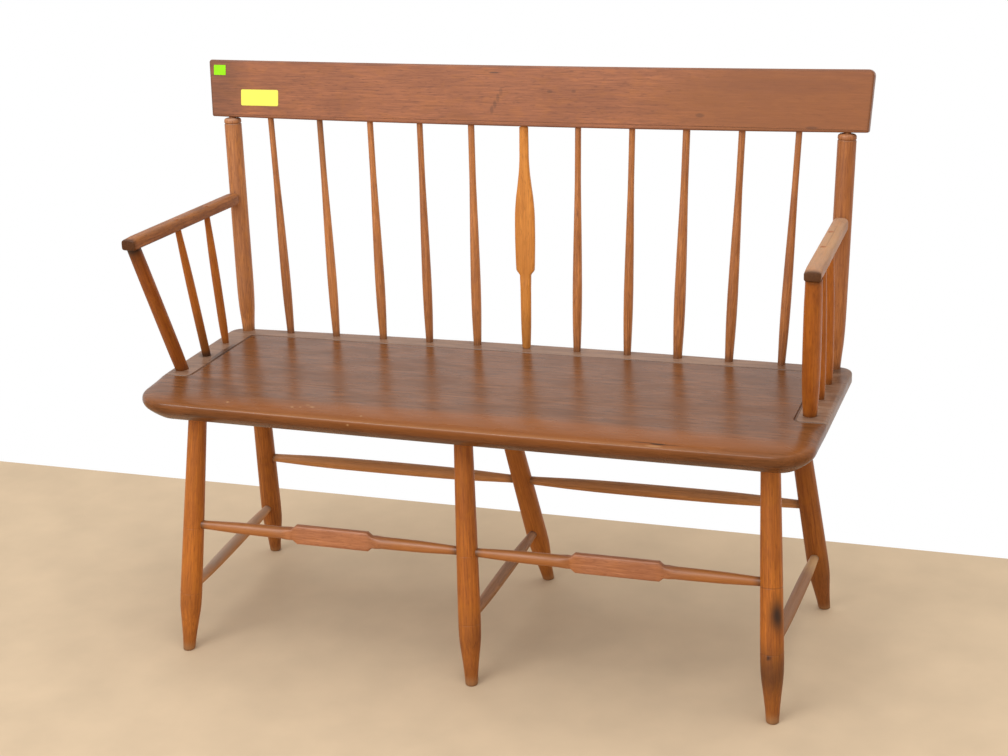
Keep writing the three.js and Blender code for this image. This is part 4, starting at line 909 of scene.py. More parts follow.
def border_mask(tree, place):
    """One on the seat's border outside the scored line, nothing inside it."""
    seat = bpy.context.scene.bench.seat
    axes = add_node(tree, "ShaderNodeSeparateXYZ", links={"Vector": place})
    across = add_node(tree, "ShaderNodeMath", {"operation": "ABSOLUTE"}, {0: axes.outputs["X"]})

    def past(source, line, part):
        low, high = BORDER_EDGES[part]
        return measured(tree, source, line + low * MM, line + high * MM)

    side = past(across.outputs[0], seat.score_half, "side")
    rear = past(axes.outputs["Y"], SPINDLE_ROW - seat.score_inset, "rear")
    behind = past(axes.outputs["Y"], SPINDLE_ROW - seat.score_front, "front")
    either = add_node(tree, "ShaderNodeMath", {"operation": "MAXIMUM"}, {0: side, 1: rear})
    return product(tree, either.outputs[0], behind)


def old_wood(label, light, dark, lengthwise, streak, pore, contrast, clouding, patching, roughness,
             gloss, marks=()):
    """Old shellacked wood with its wear, dust and marks.

    Streak and pore are the width and length of the grain in millimetres.
    """
    colours = bpy.context.scene.bench.colours
    material, tree, shader = new_finish(label)
    place = add_node(tree, "ShaderNodeTexCoord").outputs["Object"]
    shift = piece_value(tree, "grain_shift", "Vector")
    spots = add_node(
        tree, "ShaderNodeVectorMath", {"operation": "ADD"}, {0: place, 1: shift}
    ).outputs["Vector"]
    streaks = grain_pattern(tree, spots, lengthwise, *streak)
    narrow, short = streak[0] / FINE_NARROWER, streak[1] / FINE_SHORTER
    fine = grain_pattern(tree, spots, lengthwise, narrow, short, *FINE_GRAIN)
    pores = grain_pattern(tree, spots, lengthwise, *pore, *PORE_GRAIN)
    clouds = grain_pattern(tree, spots, lengthwise, *CLOUD_GRAIN)
    both = add_node(
        tree, "ShaderNodeMath", {"operation": "MULTIPLY_ADD", 1: STREAK_SHARE},
        {0: streaks, 2: product(tree, fine, FINE_SHARE)},
    ).outputs[0]
    middle = tuple((pale + deep) / 2 for pale, deep in zip(light, dark))
    half = RAMP_HALF / contrast
    ramp = [(0.5 - half, dark), (0.5, middle), (0.5 + half, light)]
    colour = add_node(tree, "ShaderNodeValToRGB", {"ramp": ramp}, {"Fac": both}).outputs["Color"]
    dim = tuple(PORE_SHADE * level for level in dark)
    colour = blended(tree, measured(tree, pores, *PORE_EFFECT), colour, dim)
    colour = blended(tree, measured(tree, clouds, *CLOUD_RANGE, 0, clouding), colour, dark)
    patches = grain_pattern(tree, spots, lengthwise, *PATCH_GRAIN)
    yellowed = measured(tree, patches, *PATCH_RANGE, 0, patching)
    colour = blended(tree, yellowed, colour, colours.amber)
    tone = piece_value(tree, "tone")
    colour = blended(tree, measured(tree, tone, *DARK_TONE), colour, dark)
    colour = blended(tree, measured(tree, tone, *LIGHT_TONE), colour, light)
    uneven = measured(tree, clouds, *DUST_CLOUDS)
    if label == "shellacked_pine_plank":
        # On the seat the dust lies on the border alone, thicker between the streaks.
        grain = measured(tree, both, *SEAT_DUST_GRAIN)
        settled = product(tree, border_mask(tree, place), uneven, grain, SEAT_DUST)
    else:
        facing = add_node(tree, "ShaderNodeNewGeometry").outputs["Normal"]
        height = add_node(tree, "ShaderNodeSeparateXYZ", links={"Vector": facing}).outputs["Z"]
        upward = measured(tree, height, *FACING_UP)
        settled = product(tree, piece_value(tree, "dust"), upward, uneven)
    colour = blended(tree, settled, colour, colours.dust)
    for centre, reach, tint, strength in marks:
        share = product(tree, spot_mask(tree, place, centre, reach), strength)
        colour = blended(tree, share, colour, getattr(colours, tint))
    # Worn holds rubbed wood, and along the seat's nose a painted highlight.
    rubbed = product(tree, mesh_value(tree, "worn"), measured(tree, clouds, *RUB_CLOUDS))
    colour = blended(tree, rubbed, colour, colours.bare)
    # Soot holds dark marks, and on the seat's lower edge painted shade.
    colour = blended(tree, mesh_value(tree, "soot"), colour, colours.soot)
    cut = product(tree, mesh_value(tree, "groove"), GROOVE_SOOT)
    colour = blended(tree, cut, colour, colours.soot)
    smoothest, roughest = roughness - ROUGHNESS_UNDER, roughness + ROUGHNESS_OVER
    rough = measured(tree, clouds, *ROUGHNESS_RANGE, smoothest, roughest)
    rough = add_node(
        tree, "ShaderNodeMath", {"operation": "MULTIPLY_ADD", 1: DUST_ROUGHNESS},
        {0: settled, 2: rough},
    ).outputs[0]
    bump = add_node(
        tree, "ShaderNodeBump", {"Strength": BUMP_STRENGTH, "Distance": BUMP_DEPTH}, {"Height": both}
    )
    tree.links.new(colour, shader.inputs["Base Color"])
    tree.links.new(rough, shader.inputs["Roughness"])
    tree.links.new(bump.outputs["Normal"], shader.inputs["Normal"])
    shader.inputs["IOR"].default_value = SHELLAC_IOR
    shader.inputs["Specular IOR Level"].default_value = gloss
    return material


# The materials made so far, by slot.
FINISHES = {}
# Marks of use, in the space of the piece: centre, reach, colour and strength.
SEAT_MARKS = [
    ((60, -205, 440), (700, 50, 24), "seat_roll", 0.6),
    ((500, 110, 434), (170, 120, 14), "seat_dark", 0.4),
    ((301, -221.6, 442), (24, 1.8, 2.4), "soot", 0.6),
    ((322, -223.4, 441.8), (15, 2.2, 2.4), "soot", 1),
    ((341, -223.4, 441.8), (18, 1.6, 2.4), "soot", 0.45),
    ((316, -228, 440.8), (15, 2.4, 2.4), "bare", 0.3),
    ((-144.3, -208.4, 442.7), (2.4, 2.4, 2), "bare", 0.5),
    ((-160.2, -225.2, 433.2), (2.4, 2.2, 2), "bare", 0.5),
    ((-375, -195.7, 443.1), (2.6, 2.6, 2), "bare", 0.6),
    ((-243, -183.6, 443.7), (4, 1.6, 2), "bare", 0.6),
    ((-264.4, -195.9, 443.3), (3.5, 2, 2), "bare", 0.65),
    ((-251.6, -193.7, 443.5), (2.5, 1.6, 2), "bare", 0.6),
    ((-232.9, -190.2, 443.6), (5, 2, 2), "bare", 0.65),
    ((-333, -146.6, 443.1), (9, 1.5, 2), "soot", 0.7),
    ((-500, 40, 436.6), (7, 66, 6), "soot", 0.7),
    ((-519, 14, 437.4), (15, 14, 5), "soot", 0.5),
    ((539, 22, 437.1), (10, 22, 6), "soot", 0.3),
    ((535, 118, 433.9), (10, 30, 6), "soot", 0.3),
    ((517, 158, 432.4), (26, 18, 5), "soot", 0.5),
]
CREST_MARKS = [
    ((47, 202.6, 861), (6, 6, 3), "soot", 0.4),
    ((87, 202.8, 862), (5, 6, 3), "soot", 0.3),
    ((-48, 208.5, 889), (11, 6, 1.6), "soot", 0.7),
    ((-51, 196.6, 831), (4, 6, 9), "soot", 0.36),
    ((-46, 198.4, 840), (4, 6, 9), "soot", 0.36),
    ((-41, 200.3, 850), (4, 6, 9), "soot", 0.36),
    ((-36, 202.2, 860), (4, 6, 9), "soot", 0.3),
    ((-550, 202, 860), (70, 30, 90), "soot", 0.3),
    ((470, 200, 850), (290, 30, 110), "crest_dark", 0.5),
    ((470, 200, 850), (290, 30, 110), "soot", 0.14),
    ((440, 200, 850), (300, 30, 90), "amber", 0.2),
    ((420, 207, 876), (190, 12, 14), "crest_dark", 0.3),
    ((190, 198, 838), (90, 12, 16), "crest_dark", 0.25),
    ((294, 198, 829), (9, 6, 4), "soot", 0.4),
    ((470, 195, 814), (12, 6, 3), "soot", 0.4),
]
# Both shafts of a front stretcher, along its own Z, are yellower than its paddle.
SHAFT_MARKS = [
    ((0, 0, 60), (60, 60, 130), "amber", 0.6),
    ((0, 0, 430), (60, 60, 130), "amber", 0.6),
]
# On an arm X lies across it, negative Y is its top and Z runs back from its front end.
ARM_MARKS = [
    ((1.5, -10, 205), (1.3, 4, 85), "soot", 0.4),
    ((1, -10, 120), (5, 4, 1.1), "soot", 0.3),
    ((0, -10, 268), (7, 4, 1.2), "soot", 0.45),
    ((5, -8, 303), (6, 5, 1.4), "soot", 0.5),
]


def finish(name):
    """The material of a slot, made the first time that it is asked for."""
    if name in FINISHES:
        return FINISHES[name]
    colours = bpy.context.scene.bench.colours
    # Label, colours, lengthwise axis, streaks, pores, contrast, clouding, patches, roughness, gloss.
    woods = {
        # Planed pine plank, its shellac worn thin: a fine level grain under a soft mirroring sheen.
        # The grain is drawn coarser than real, so that it shows at this distance.
        "seat_board": (
            "shellacked_pine_plank", "seat", 0, (5.0, 80), (4.4, 34), 0.8, 0.35, 0.0, 0.26, 0.16,
            SEAT_MARKS,
        ),
        # Planed maple board, shellacked: fine level lines, small scars, a dull sheen. The lines are
        # drawn two millimetres apart, coarser than real, because finer ones blur at this distance.
        "crest_board": (
            "shellacked_maple_board", "crest", 0, (2.2, 60), (1.6, 15), 0.75, 0.45, 0.15, 0.42, 0.27,
            CREST_MARKS,
        ),
        # Turned maple, sanded and shellacked: upright streaks of orange, a narrow soft highlight.
        "front_leg_wood": (
            "turned_maple", "leg", 2, (3.0, 90), (1.5, 18), 0.8, 0.4, 0.35, 0.42, 0.25
        ),
        # The same turned maple at the back, darker with dirt, so its highlight is fainter.
        "rear_leg_wood": (
            "turned_maple_dark", "rear_leg", 2, (3.2, 90), (1.5, 18), 0.8, 0.4, 0.25, 0.46, 0.2
        ),
        # Shaved hickory sticks: coarse dark pores along them. Like all the pores here, they are
        # drawn wider than real ones, which are finer than a pixel.
        "spindle_wood": (
            "shaved_hickory", "spindle", 2, (2.4, 70), (1.7, 16), 0.95, 0.5, 0.3, 0.42, 0.35
        ),
        # The flat middle stick of paler hickory: clear yellow orange with few dark pores.
        "arrow_wood": (
            "shaved_hickory_pale", "arrow", 2, (2.8, 90), (1.6, 14), 0.8, 0.4, 0.2, 0.42, 0.3
        ),
        # Turned hickory posts: open grain with dark pores, the shellac gone dull.
        "post_wood": (
            "turned_hickory", "post", 2, (2.6, 70), (1.8, 14), 1.0, 0.4, 0.3, 0.44, 0.3
        ),
        # Shaped maple arms, rubbed by hands: pale patches between brown ones, and a soft gleam.
        "arm_wood": (
            "hand_worn_maple", "arm", 2, (3.4, 50), (3.6, 9), 0.9, 0.6, 0.25, 0.4, 0.12, ARM_MARKS
        ),
        # Turned maple under the arms: red brown to yellow orange, with a soft highlight.
        "arm_post_wood": (
            "turned_maple_red", "arm_post", 2, (3.0, 80), (1.6, 16), 0.55, 0.45, 0.3, 0.4, 0.22
        ),
        # Shaved maple of the front stretchers, scuffed by heels: pinkish orange and nearly matt.
        "paddle_wood": (
            "shaved_maple", "paddle", 2, (3.2, 70), (1.6, 12), 0.8, 0.5, 0.15, 0.46, 0.35, SHAFT_MARKS
        ),
        # Turned maple of the low stretchers, dry and dusty on top: brown without a gleam.
        "stretcher_wood": (
            "turned_maple_brown", "stretcher", 2, (2.8, 80), (1.6, 14), 0.8, 0.4, 0.25, 0.5, 0.25
        ),
    }
    label, tint, *rest = woods[name]
    light = tuple(getattr(colours, f"{tint}_light"))
    dark = tuple(getattr(colours, f"{tint}_dark"))
    FINISHES[name] = old_wood(label, light, dark, *rest)
    return FINISHES[name]


def plain_finish(name, colour, roughness, gloss):
    """Smooth finish of one colour with faint unevenness, for paper and the floor."""
    material, tree, shader = new_finish(name)
    place = add_node(tree, "ShaderNodeTexCoord").outputs["Object"]
    settings = {"Scale": 1 / (PLAIN_CLOUD * MM), "Detail": PLAIN_DETAIL}
    cloud = add_node(tree, "ShaderNodeTexNoise", settings, {"Vector": place}).outputs["Fac"]
    deeper = tuple(PLAIN_SHADE * level for level in colour)
    mixed = blended(tree, measured(tree, cloud, *PLAIN_RANGE), colour, deeper)
    tree.links.new(mixed, shader.inputs["Base Color"])
    shader.inputs["Roughness"].default_value = roughness
    shader.inputs["Specular IOR Level"].default_value = gloss
    return material


# Setting out

def seat_spot(x, y, depth):
    """Point on or in the seat: y runs back along its top from the spindles, depth goes down."""
    seat = bpy.context.scene.bench.seat
    middle = Vector((0, SPINDLE_ROW, seat.height))
    back = Vector((0, math.cos(seat.fall), -math.sin(seat.fall)))
    up = Vector((0, math.sin(seat.fall), math.cos(seat.fall)))
    spot = middle + back * y - up * depth
    spot.x = x
    return spot


def at_seat_depth(start, end, depth):
    """Where the line through start and end lies a depth below the top of the seat."""
    seat = bpy.context.scene.bench.seat
    up = Vector((0, math.sin(seat.fall), math.cos(seat.fall)))
    along = (end - start).normalized()
    level = seat_spot(0, 0, depth)
    return start + along * ((level - start).dot(up) / along.dot(up))


def at_height(start, end, height):
    """Where the line through start and end is at a height above the floor."""
    return start.lerp(end, (height - start.z) / (end.z - start.z))


def crest_spot(x, rise, depth):
    """Point on or in the crest: rise goes up its front face, depth goes back."""
    crest = bpy.context.scene.bench.crest
    up = Vector((0, math.sin(crest.lean), math.cos(crest.lean)))
    back = Vector((0, math.cos(crest.lean), -math.sin(crest.lean)))
    corner = Vector((0, SPINDLE_ROW + crest.front, crest.bottom_height))
    spot = corner + up * rise + back * depth
    spot.x = x
    return spot


def under_crest(start, end):
    """Where the line through start and end meets the underside of the crest."""
    crest = bpy.context.scene.bench.crest
    up = Vector((0, math.sin(crest.lean), math.cos(crest.lean)))
    along = (end - start).normalized()
    rise = crest.bottom_sag * (end.x / crest.bottom_half) ** 2
    return start + along * ((crest_spot(0, rise, 0) - start).dot(up) / along.dot(up))


def leg_line(name):
    """Foot and top of a leg, and where it meets the underside of the seat."""
    bench = bpy.context.scene.bench
    foot_x, foot_y, head_x, head_y = LEG_LINES[name]
    foot = row_point(foot_x, foot_y, 0)
    head = row_point(head_x, head_y, bench.legs.head_height / MM)
    top = at_seat_depth(foot, head, bench.seat.thickness - bench.legs.socket)
    return foot, top, at_seat_depth(foot, head, bench.seat.thickness)


def spindle_line(place, shift):
    """Seat end and crest end of a back spindle, counted from the middle one."""
    bench = bpy.context.scene.bench
    back = bench.back
    shifted = shift * MM
    low = Vector((place * back.seat_pitch + shifted, SPINDLE_ROW, bench.seat.height))
    aim_y = SPINDLE_ROW + back.lean
    aim = Vector((place * back.head_pitch + shifted, aim_y, bench.crest.bottom_height))
    return low, under_crest(low, aim)


def post_line(side):
    """Seat end and crest end of a back post, at the faces that it goes into."""
    bench = bpy.context.scene.bench
    back = bench.back
    seat_end = Vector((side * back.post_seat, SPINDLE_ROW, bench.seat.height))
    aim = Vector((side * back.post_head, SPINDLE_ROW + back.lean, bench.crest.bottom_height))
    return seat_end, under_crest(seat_end, aim)


def arm_line(side):
    """Front end of an arm and its shoulder against the post."""
    bench = bpy.context.scene.bench
    arms = bench.arms
    if side < 0:
        front = Vector((-arms.front_x - arms.shift, SPINDLE_ROW - arms.left_front, arms.left_height))
    else:
        across = arms.front_x - arms.shift / 2
        front = Vector((across, SPINDLE_ROW - arms.right_front, arms.right_height))
    in_post = at_height(*post_line(side), arms.rear_height)
    along = (in_post - front).normalized()
    return front, in_post - along * (bench.back.post / 2 + arms.gap)


# Pieces

class BENCH_OT_seat(bpy.types.Operator):
    """Build the seat plank with its rolled front edge and scored line"""

    bl_idname = "bench.seat"
    bl_label = "Seat"

    def outline(self, seat):
        """Outline of the seat from above, anticlockwise from its left front corner."""
        left = (seat.corner_left - seat.front_half, seat.corner_left - seat.front_left)
        right = (seat.front_half - seat.corner_right, seat.corner_right - seat.front_right)
        rear_x = seat.rear_half - seat.rear_corner
        rear_y = seat.rear_end - seat.rear_corner
        points = [(-seat.front_half, left[1])]
        points += arc_points(left, seat.corner_left, 180, 270, FRONT_CORNER_STEPS)
        for step in range(1, FRONT_STEPS + 1):
            share = step / FRONT_STEPS
            reach = seat.front_left + (seat.front_right - seat.front_left) * share
            x = left[0] + (right[0] - left[0]) * share
            points.append((x, -reach - seat.bow * math.sin(math.pi * share)))
        points += arc_points(right, seat.corner_right, 270, 360, FRONT_CORNER_STEPS)
        for step in range(1, END_STEPS):
            share = step / END_STEPS
            x = seat.front_half + (seat.rear_half - seat.front_half) * share
            points.append((x, right[1] + (rear_y - right[1]) * share))
        points.append((seat.rear_half, rear_y))
        points += arc_points((rear_x, rear_y), seat.rear_corner, 0, 90, REAR_CORNER_STEPS)
        for step in range(1, REAR_STEPS):
            share = step / REAR_STEPS
            bow = (seat.rear_middle - seat.rear_end) * math.sin(math.pi * share)
            points.append((rear_x - 2 * rear_x * share, seat.rear_end + bow))
        points.append((-rear_x, seat.rear_end))
        points += arc_points((-rear_x, rear_y), seat.rear_corner, 90, 180, REAR_CORNER_STEPS)
        for step in range(1, END_STEPS):
            share = step / END_STEPS
            x = seat.rear_half + (seat.front_half - seat.rear_half) * share
            points.append((-x, rear_y + (left[1] - rear_y) * share))
        return points

    def roll_share(self, seat, x, y):
        """How much of the front roll a point has: none beside the posts, all of it in front."""
        corner = seat.corner_left if x < 0 else seat.corner_right
        grown = fade(seat.front_left - seat.roll_start + seat.roll_growth + y, seat.roll_growth)
        spread = 1 - fade(seat.front_half - corner - abs(x), CORNER_SPREAD)
        return grown * (CORNER_ROLL + (1 - CORNER_ROLL) * spread)

    def edge_layer(self, seat, place, shares, backs):
        """Insets and drops of one layer of the edge, at a place along its sections."""
        front = [(index, *row) for index, row in enumerate(SEAT_FRONT_SECTION)]
        ends = [(index, *row) for index, row in enumerate(SEAT_SIDE_SECTION)]
        over, under, down = (fair_value(front, column, place) for column in (1, 2, 3))
        end_over, end_under, end_down = (fair_value(ends, column, place) for column in (1, 2, 3))
        insets, drops = [], []
        for share, back in zip(shares, backs):
            inward = over * seat.roll + under * seat.undercut
            end_inward = end_over * seat.edge + end_under * seat.end_undercut * back
            insets.append(end_inward + (inward - end_inward) * share)
            drops.append((end_down + (down - end_down) * share) * seat.thickness)
        return insets, drops

    def score_path(self, seat):
        """Route of the scored line, from its right front end round the back to the left one."""
        side, rear, front = seat.score_half, -seat.score_inset, -seat.score_front
        bend, run, corner = seat.score_bend, seat.score_run, seat.score_corner
        half = [(side + run, front - bend), (side + run / 2, front - bend)]
        half += [(side + bend, front - bend), (side + 0.3 * bend, front - 0.7 * bend), (side, front)]
        half += arc_points((side - corner, rear - corner), corner, 0, 90, SCORE_CORNER_STEPS)
        return half + [(-x, y) for x, y in reversed(half)]

    def score_cutter(self, seat, material):
        """Ribbon with a rounded underside along the scored line."""
        path = self.score_path(seat)
        work = bmesh.new()
        rings = []
        for index, (x, y) in enumerate(path):
            before = Vector(path[max(index - 1, 0)])
            after = Vector(path[min(index + 1, len(path) - 1)])
            edge = (after - before).normalized()
            ring = []
            for out, rise in SCORE_SECTION:
                spot = seat_spot(
                    x - edge.y * out * seat.score_width,
                    y + edge.x * out * seat.score_width,
                    -rise * seat.score_depth,
                )
                ring.append(work.verts.new(spot))
            rings.append(ring)
        for first, second in zip(rings, rings[1:]):
            for index in range(len(SCORE_SECTION)):
                after = (index + 1) % len(SCORE_SECTION)
                work.faces.new((first[index], first[after], second[after], second[index]))
        work.faces.new(list(reversed(rings[0])))
        work.faces.new(rings[-1])
        bmesh.ops.recalc_face_normals(work, faces=work.faces)
        mesh = bpy.data.meshes.new("score")
        work.to_mesh(mesh)
        work.free()
        groove = mesh.attributes.new("groove", "FLOAT", "FACE")
        groove.data.foreach_set("value", [1.0] * len(mesh.polygons))
        mesh.materials.append(material)
        cutter = bpy.data.objects.new("score", mesh)
        bpy.context.scene.collection.objects.link(cutter)
        return cutter

    def execute(self, context):
        seat = context.scene.bench.seat
        outline = self.outline(seat)
        shares = [self.roll_share(seat, x, y) for x, y in outline]
        backs = [fade(y - seat.rear_end + seat.rear_corner, seat.rear_corner) for _, y in outline]
        last = len(SEAT_FRONT_SECTION) - 1
        edge = [(step / LAYERS_PER_ROW, 0) for step in range(LAYERS_PER_ROW * last + 1)]
        start, growth = FACE_SHADE
        # Painted highlight along the nose, partly rubbed finish, fading towards its ends.
        nose_gleam = [NOSE_GLEAM * share * fade(abs(x) - NOSE_HALF, NOSE_FADE)
                for share, (x, _) in zip(shares, outline)]
        insets, drops, soot, worn = [], [], [], []
        for place, rim in [(0, SEAT_RIM), *edge, (last, SEAT_RIM)]:
            layer_insets, layer_drops = self.edge_layer(seat, place, shares, backs)
            insets.append([inset + rim for inset in layer_insets])
            drops.append(layer_drops)
            # From this row down the edge gets painted shade, darker with each row.
            dirt_and_shade = start + growth * (place - SHADED_ROW) if place >= SHADED_ROW else 0
            soot.append([dirt_and_shade] * len(outline))
            worn.append([gleam_share * fade(abs(place - GLEAM_ROW), 1) for gleam_share in nose_gleam])
        mesh = layered_mesh("seat", outline, insets, drops, seat_spot, soot, worn)
        piece = finish_piece("seat", mesh, finish("seat_board"))
        carve(piece, [self.score_cutter(seat, finish("seat_board"))])
        piece.data.set_sharp_from_angle(angle=SHARP_EDGE)
        return {"FINISHED"}


class BENCH_OT_crest(bpy.types.Operator):
    """Build the crest rail"""

    bl_idname = "bench.crest"
    bl_label = "Crest"

    def outline(self, crest):
        """Outline of the crest from the front, anticlockwise from its lower left corner."""
        low = crest.bottom_half - crest.bottom_corner
        low_rise = crest.bottom_sag + crest.bottom_corner
        points = []
        for step in range(CREST_STEPS + 1):
            x = low * (2 * step / CREST_STEPS - 1)
            points.append((x, crest.bottom_sag * (x / crest.bottom_half) ** 2))
        points += arc_points((low, low_rise), crest.bottom_corner, 270, 360, CREST_CORNER_STEPS)

        def top_at(x):
            return crest.width + crest.top_sag * (x / crest.top_half) ** 2

        right = crest.top_half - crest.top_right
        right_rise = top_at(right) - crest.top_right
        left = crest.top_half - crest.top_left
        left_rise = top_at(left) - crest.top_left
        points.append((crest.top_half, right_rise))
        points += arc_points((right, right_rise), crest.top_right, 0, 90, TOP_RIGHT_STEPS)
        for step in range(1, CREST_STEPS):
            x = right - (right + left) * step / CREST_STEPS
            points.append((x, top_at(x)))
        points.append((-left, top_at(left)))
        points += arc_points((-left, left_rise), crest.top_left, 90, 180, CREST_CORNER_STEPS)
        points.append((-crest.bottom_half, low_rise))
        points += arc_points((-low, low_rise), crest.bottom_corner, 180, 270, CREST_CORNER_STEPS)
        # The last point of this corner is the first one of the lower edge.
        return points[:-1]

    def execute(self, context):
        crest = context.scene.bench.crest
        outline = self.outline(crest)
        insets, drops, soot = [], [], []
        for near in (True, False):
            for degrees in ARRIS_TURNS if near else reversed(ARRIS_TURNS):
                angle = math.radians(degrees)
                drop = crest.arris * (1 - math.cos(angle))
                insets.append([crest.arris * (1 - math.sin(angle))] * len(outline))
                drops.append([drop if near else crest.thickness - drop] * len(outline))
                soot.append([CREST_ARRIS_DIRT] * len(outline))
        rim = [inset + CREST_RIM for inset in insets[0]]
        clean = [0.0] * len(outline)
        insets, soot = [rim, *insets, rim], [clean, *soot, clean]
        drops = [drops[0], *drops, drops[-1]]
        mesh = layered_mesh("crest_rail", outline, insets, drops, crest_spot, soot)
        finish_piece("crest_rail", mesh, finish("crest_board"))
        return {"FINISHED"}


class BENCH_OT_legs(bpy.types.Operator):
    """Turn the six legs with their scored rings and worn feet"""

    bl_idname = "bench.legs"
    bl_label = "Legs"

    def execute(self, context):
        legs = context.scene.bench.legs
        up = Vector((0, 0, 1))
        for name in LEG_LINES:
            foot, top, underside = leg_line(name)
            visible = (underside - foot).length
            axes = piece_axes(foot, top)
            keys = [round_station(share * visible, width * legs.swell) for share, width in LEG_PROFILE]
            keys.append(((top - foot).length, *keys[-1][1:]))
            heights = {height for *ends, height in STRETCHERS.values() if name in ends}
            rings = [(height * MM - legs.ring_below) / underside.z * visible for height in heights]
            grooves = [(ring, legs.ring_width / 2, legs.ring_depth) for ring in rings]
            step, sides = LEG_DETAIL
            stations = fair_stations(keys, step, grooves)
            # The foot is cut level: its first two rings lie on the floor and just above it.
            _, half, _, exponent = stations[0]
            sole = half - legs.sole_rounding
            stations[0] = (0, sole, sole, exponent)
            stations.insert(1, (legs.sole_rounding, half, half, exponent))
            planes = [(0, Vector((0, 0, 0)), up), (1, Vector((0, 0, legs.sole_rounding)), up)]
            lower, tone = LEG_LOOKS[name]

            def marks(spot, along):
                dirt_and_shade = stain(SOLE_DIRT, along) + stain(FOOT_DIRT, along)
                dirt_and_shade += stain(LEG_HEAD_DIRT, visible - along)
                dirt_and_shade += stain((lower, LOWER_LEG_REACH), abs(along - LOWER_LEG_PLACE))
                dirt_and_shade += sum(stain(LEG_RING_DIRT, abs(along - ring)) for ring in rings)
                if name == "leg_front_right":
                    gap = spot - BURN
                    gap.z *= BURN_SQUEEZE
                    dirt_and_shade += stain(BURN_SOOT, gap.length) + stain(DENT_SOOT, (spot - DENT).length)
                    dirt_and_shade += stain(BURNT_RING, abs(along - max(rings)))
                return stain(FOOT_WEAR, along), min(dirt_and_shade, 1)

            mesh = ring_piece(name, axes, stations, sides, marks, planes)
            slot = "front_leg_wood" if "front" in name else "rear_leg_wood"
            finish_piece(name, mesh, finish(slot), axes, tone)
        return {"FINISHED"}


class BENCH_OT_stretchers(bpy.types.Operator):
    """Build the stretchers, the two in front with their flat paddles"""

    bl_idname = "bench.stretchers"
    bl_label = "Stretchers"

    def swept_keys(self, sizes, length, swell):
        """Stations of a stretcher that swells towards its middle."""
        visible = length - 2 * sizes.tenon
        keys = [round_station(0, sizes.end)]
        for share, growth in SWEPT_PROFILE:
            width = sizes.end + (swell - sizes.end) * growth
            keys.append(round_station(sizes.tenon + share * visible, width))
        keys.append(round_station(length, sizes.end))
        return keys

    def half_keys(self, sizes, near):
        """Stations of a front stretcher from one end to the near end of its paddle."""
        reach = near - sizes.tenon
        half = [round_station(0, sizes.end)]
        for share, growth in PADDLE_SHAFT:
            width = sizes.end + (sizes.front_swell - sizes.end) * growth
            half.append(round_station(sizes.tenon + share * reach, width))
        for out, thick, high in PADDLE_SHOULDER:
            half.append((
                near - out * sizes.shoulder,
                thick * sizes.paddle_thickness / 2,
                high * sizes.paddle_height / 2,
                BLADE_EXPONENT,
            ))
        return half

    def paddle_keys(self, sizes, length, paddle, shift):
        """Stations of a whole front stretcher, its paddle shifted from the middle."""
        middle = length / 2 + shift
        first = self.half_keys(sizes, middle - paddle / 2)
        second = self.half_keys(sizes, length - middle - paddle / 2)
        return first + [(length - place, *section) for place, *section in reversed(second)]

    def execute(self, context):
        bench = context.scene.bench
        sizes = bench.stretchers
        for name, (from_leg, to_leg, height) in STRETCHERS.items():
            first = at_height(*leg_line(from_leg)[:2], height * MM)
            second = at_height(*leg_line(to_leg)[:2], height * MM)
            inside = (bench.legs.swell / 2 - sizes.tenon) * (second - first).normalized()
            axes = piece_axes(first + inside, second - inside)
            length = (second - first - 2 * inside).length
            if "front" in name:
                word = name.rsplit("_", 1)[1]
                paddle, shift = getattr(sizes, f"{word}_paddle"), getattr(sizes, f"{word}_shift")
                keys = self.paddle_keys(sizes, length, paddle, shift)
                slot = "paddle_wood"
            else:
                swell = sizes.side_swell if "side" in name else sizes.rear_swell
                keys = self.swept_keys(sizes, length, swell)
                slot = "stretcher_wood"

            def marks(spot, along):
                dirt_and_shade = stain(STRETCHER_END_DIRT, min(along, length - along) - sizes.tenon)
                if "front" in name:
                    dirt_and_shade += SHAFT_DIRT * (1 - fade(abs(along - length / 2) - CLEAN_HALF, CLEAN_FADE))
                rubbed = 0.0
                if name == "stretcher_side_right":
                    rubbed = stain(HEEL_WEAR, abs(length - along - HEEL_PLACE))
                return rubbed, dirt_and_shade

            step, sides = STRETCHER_DETAIL
            mesh = ring_piece(name, axes, fair_stations(keys, step), sides, marks)
            tone, dust = STRETCHER_LOOKS[name]
            finish_piece(name, mesh, finish(slot), axes, tone, dust)
        return {"FINISHED"}


class BENCH_OT_spindles(bpy.types.Operator):
    """Shave the ten plain spindles of the back"""

    bl_idname = "bench.spindles"
    bl_label = "Back spindles"

    def execute(self, context):
        bench = context.scene.bench
        back = bench.back
        for number, (place, swell, shift, tone) in enumerate(SPINDLES):
            name = f"back_spindle_{number + 1}"
            low, high = spindle_line(place, shift)
            along = (high - low).normalized()
            start, end = low - along * back.seat_socket, high + along * back.head_socket
            axes = piece_axes(start, end)
            visible = (high - low).length
            widest = swell * MM
            keys = [round_station(0, SPINDLE_PROFILE[0][1] * widest)]
            for share, width in SPINDLE_PROFILE:
                keys.append(round_station(back.seat_socket + share * visible, width * widest))
            keys.append(round_station((end - start).length, SPINDLE_PROFILE[-1][1] * widest))

            def marks(spot, along):
                above = along - back.seat_socket
                dirt_and_shade = stain(SPINDLE_FOOT_DIRT, above) + stain(SPINDLE_LOW_DIRT, above)
                if name == "back_spindle_2":
                    dirt_and_shade += stain(SECOND_SPINDLE_TOP_DIRT, visible - above)
                return 0.0, dirt_and_shade

            step, sides = SPINDLE_DETAIL
            mesh = ring_piece(name, axes, fair_stations(keys, step), sides, marks)
            finish_piece(name, mesh, finish("spindle_wood"), axes, tone)
        return {"FINISHED"}


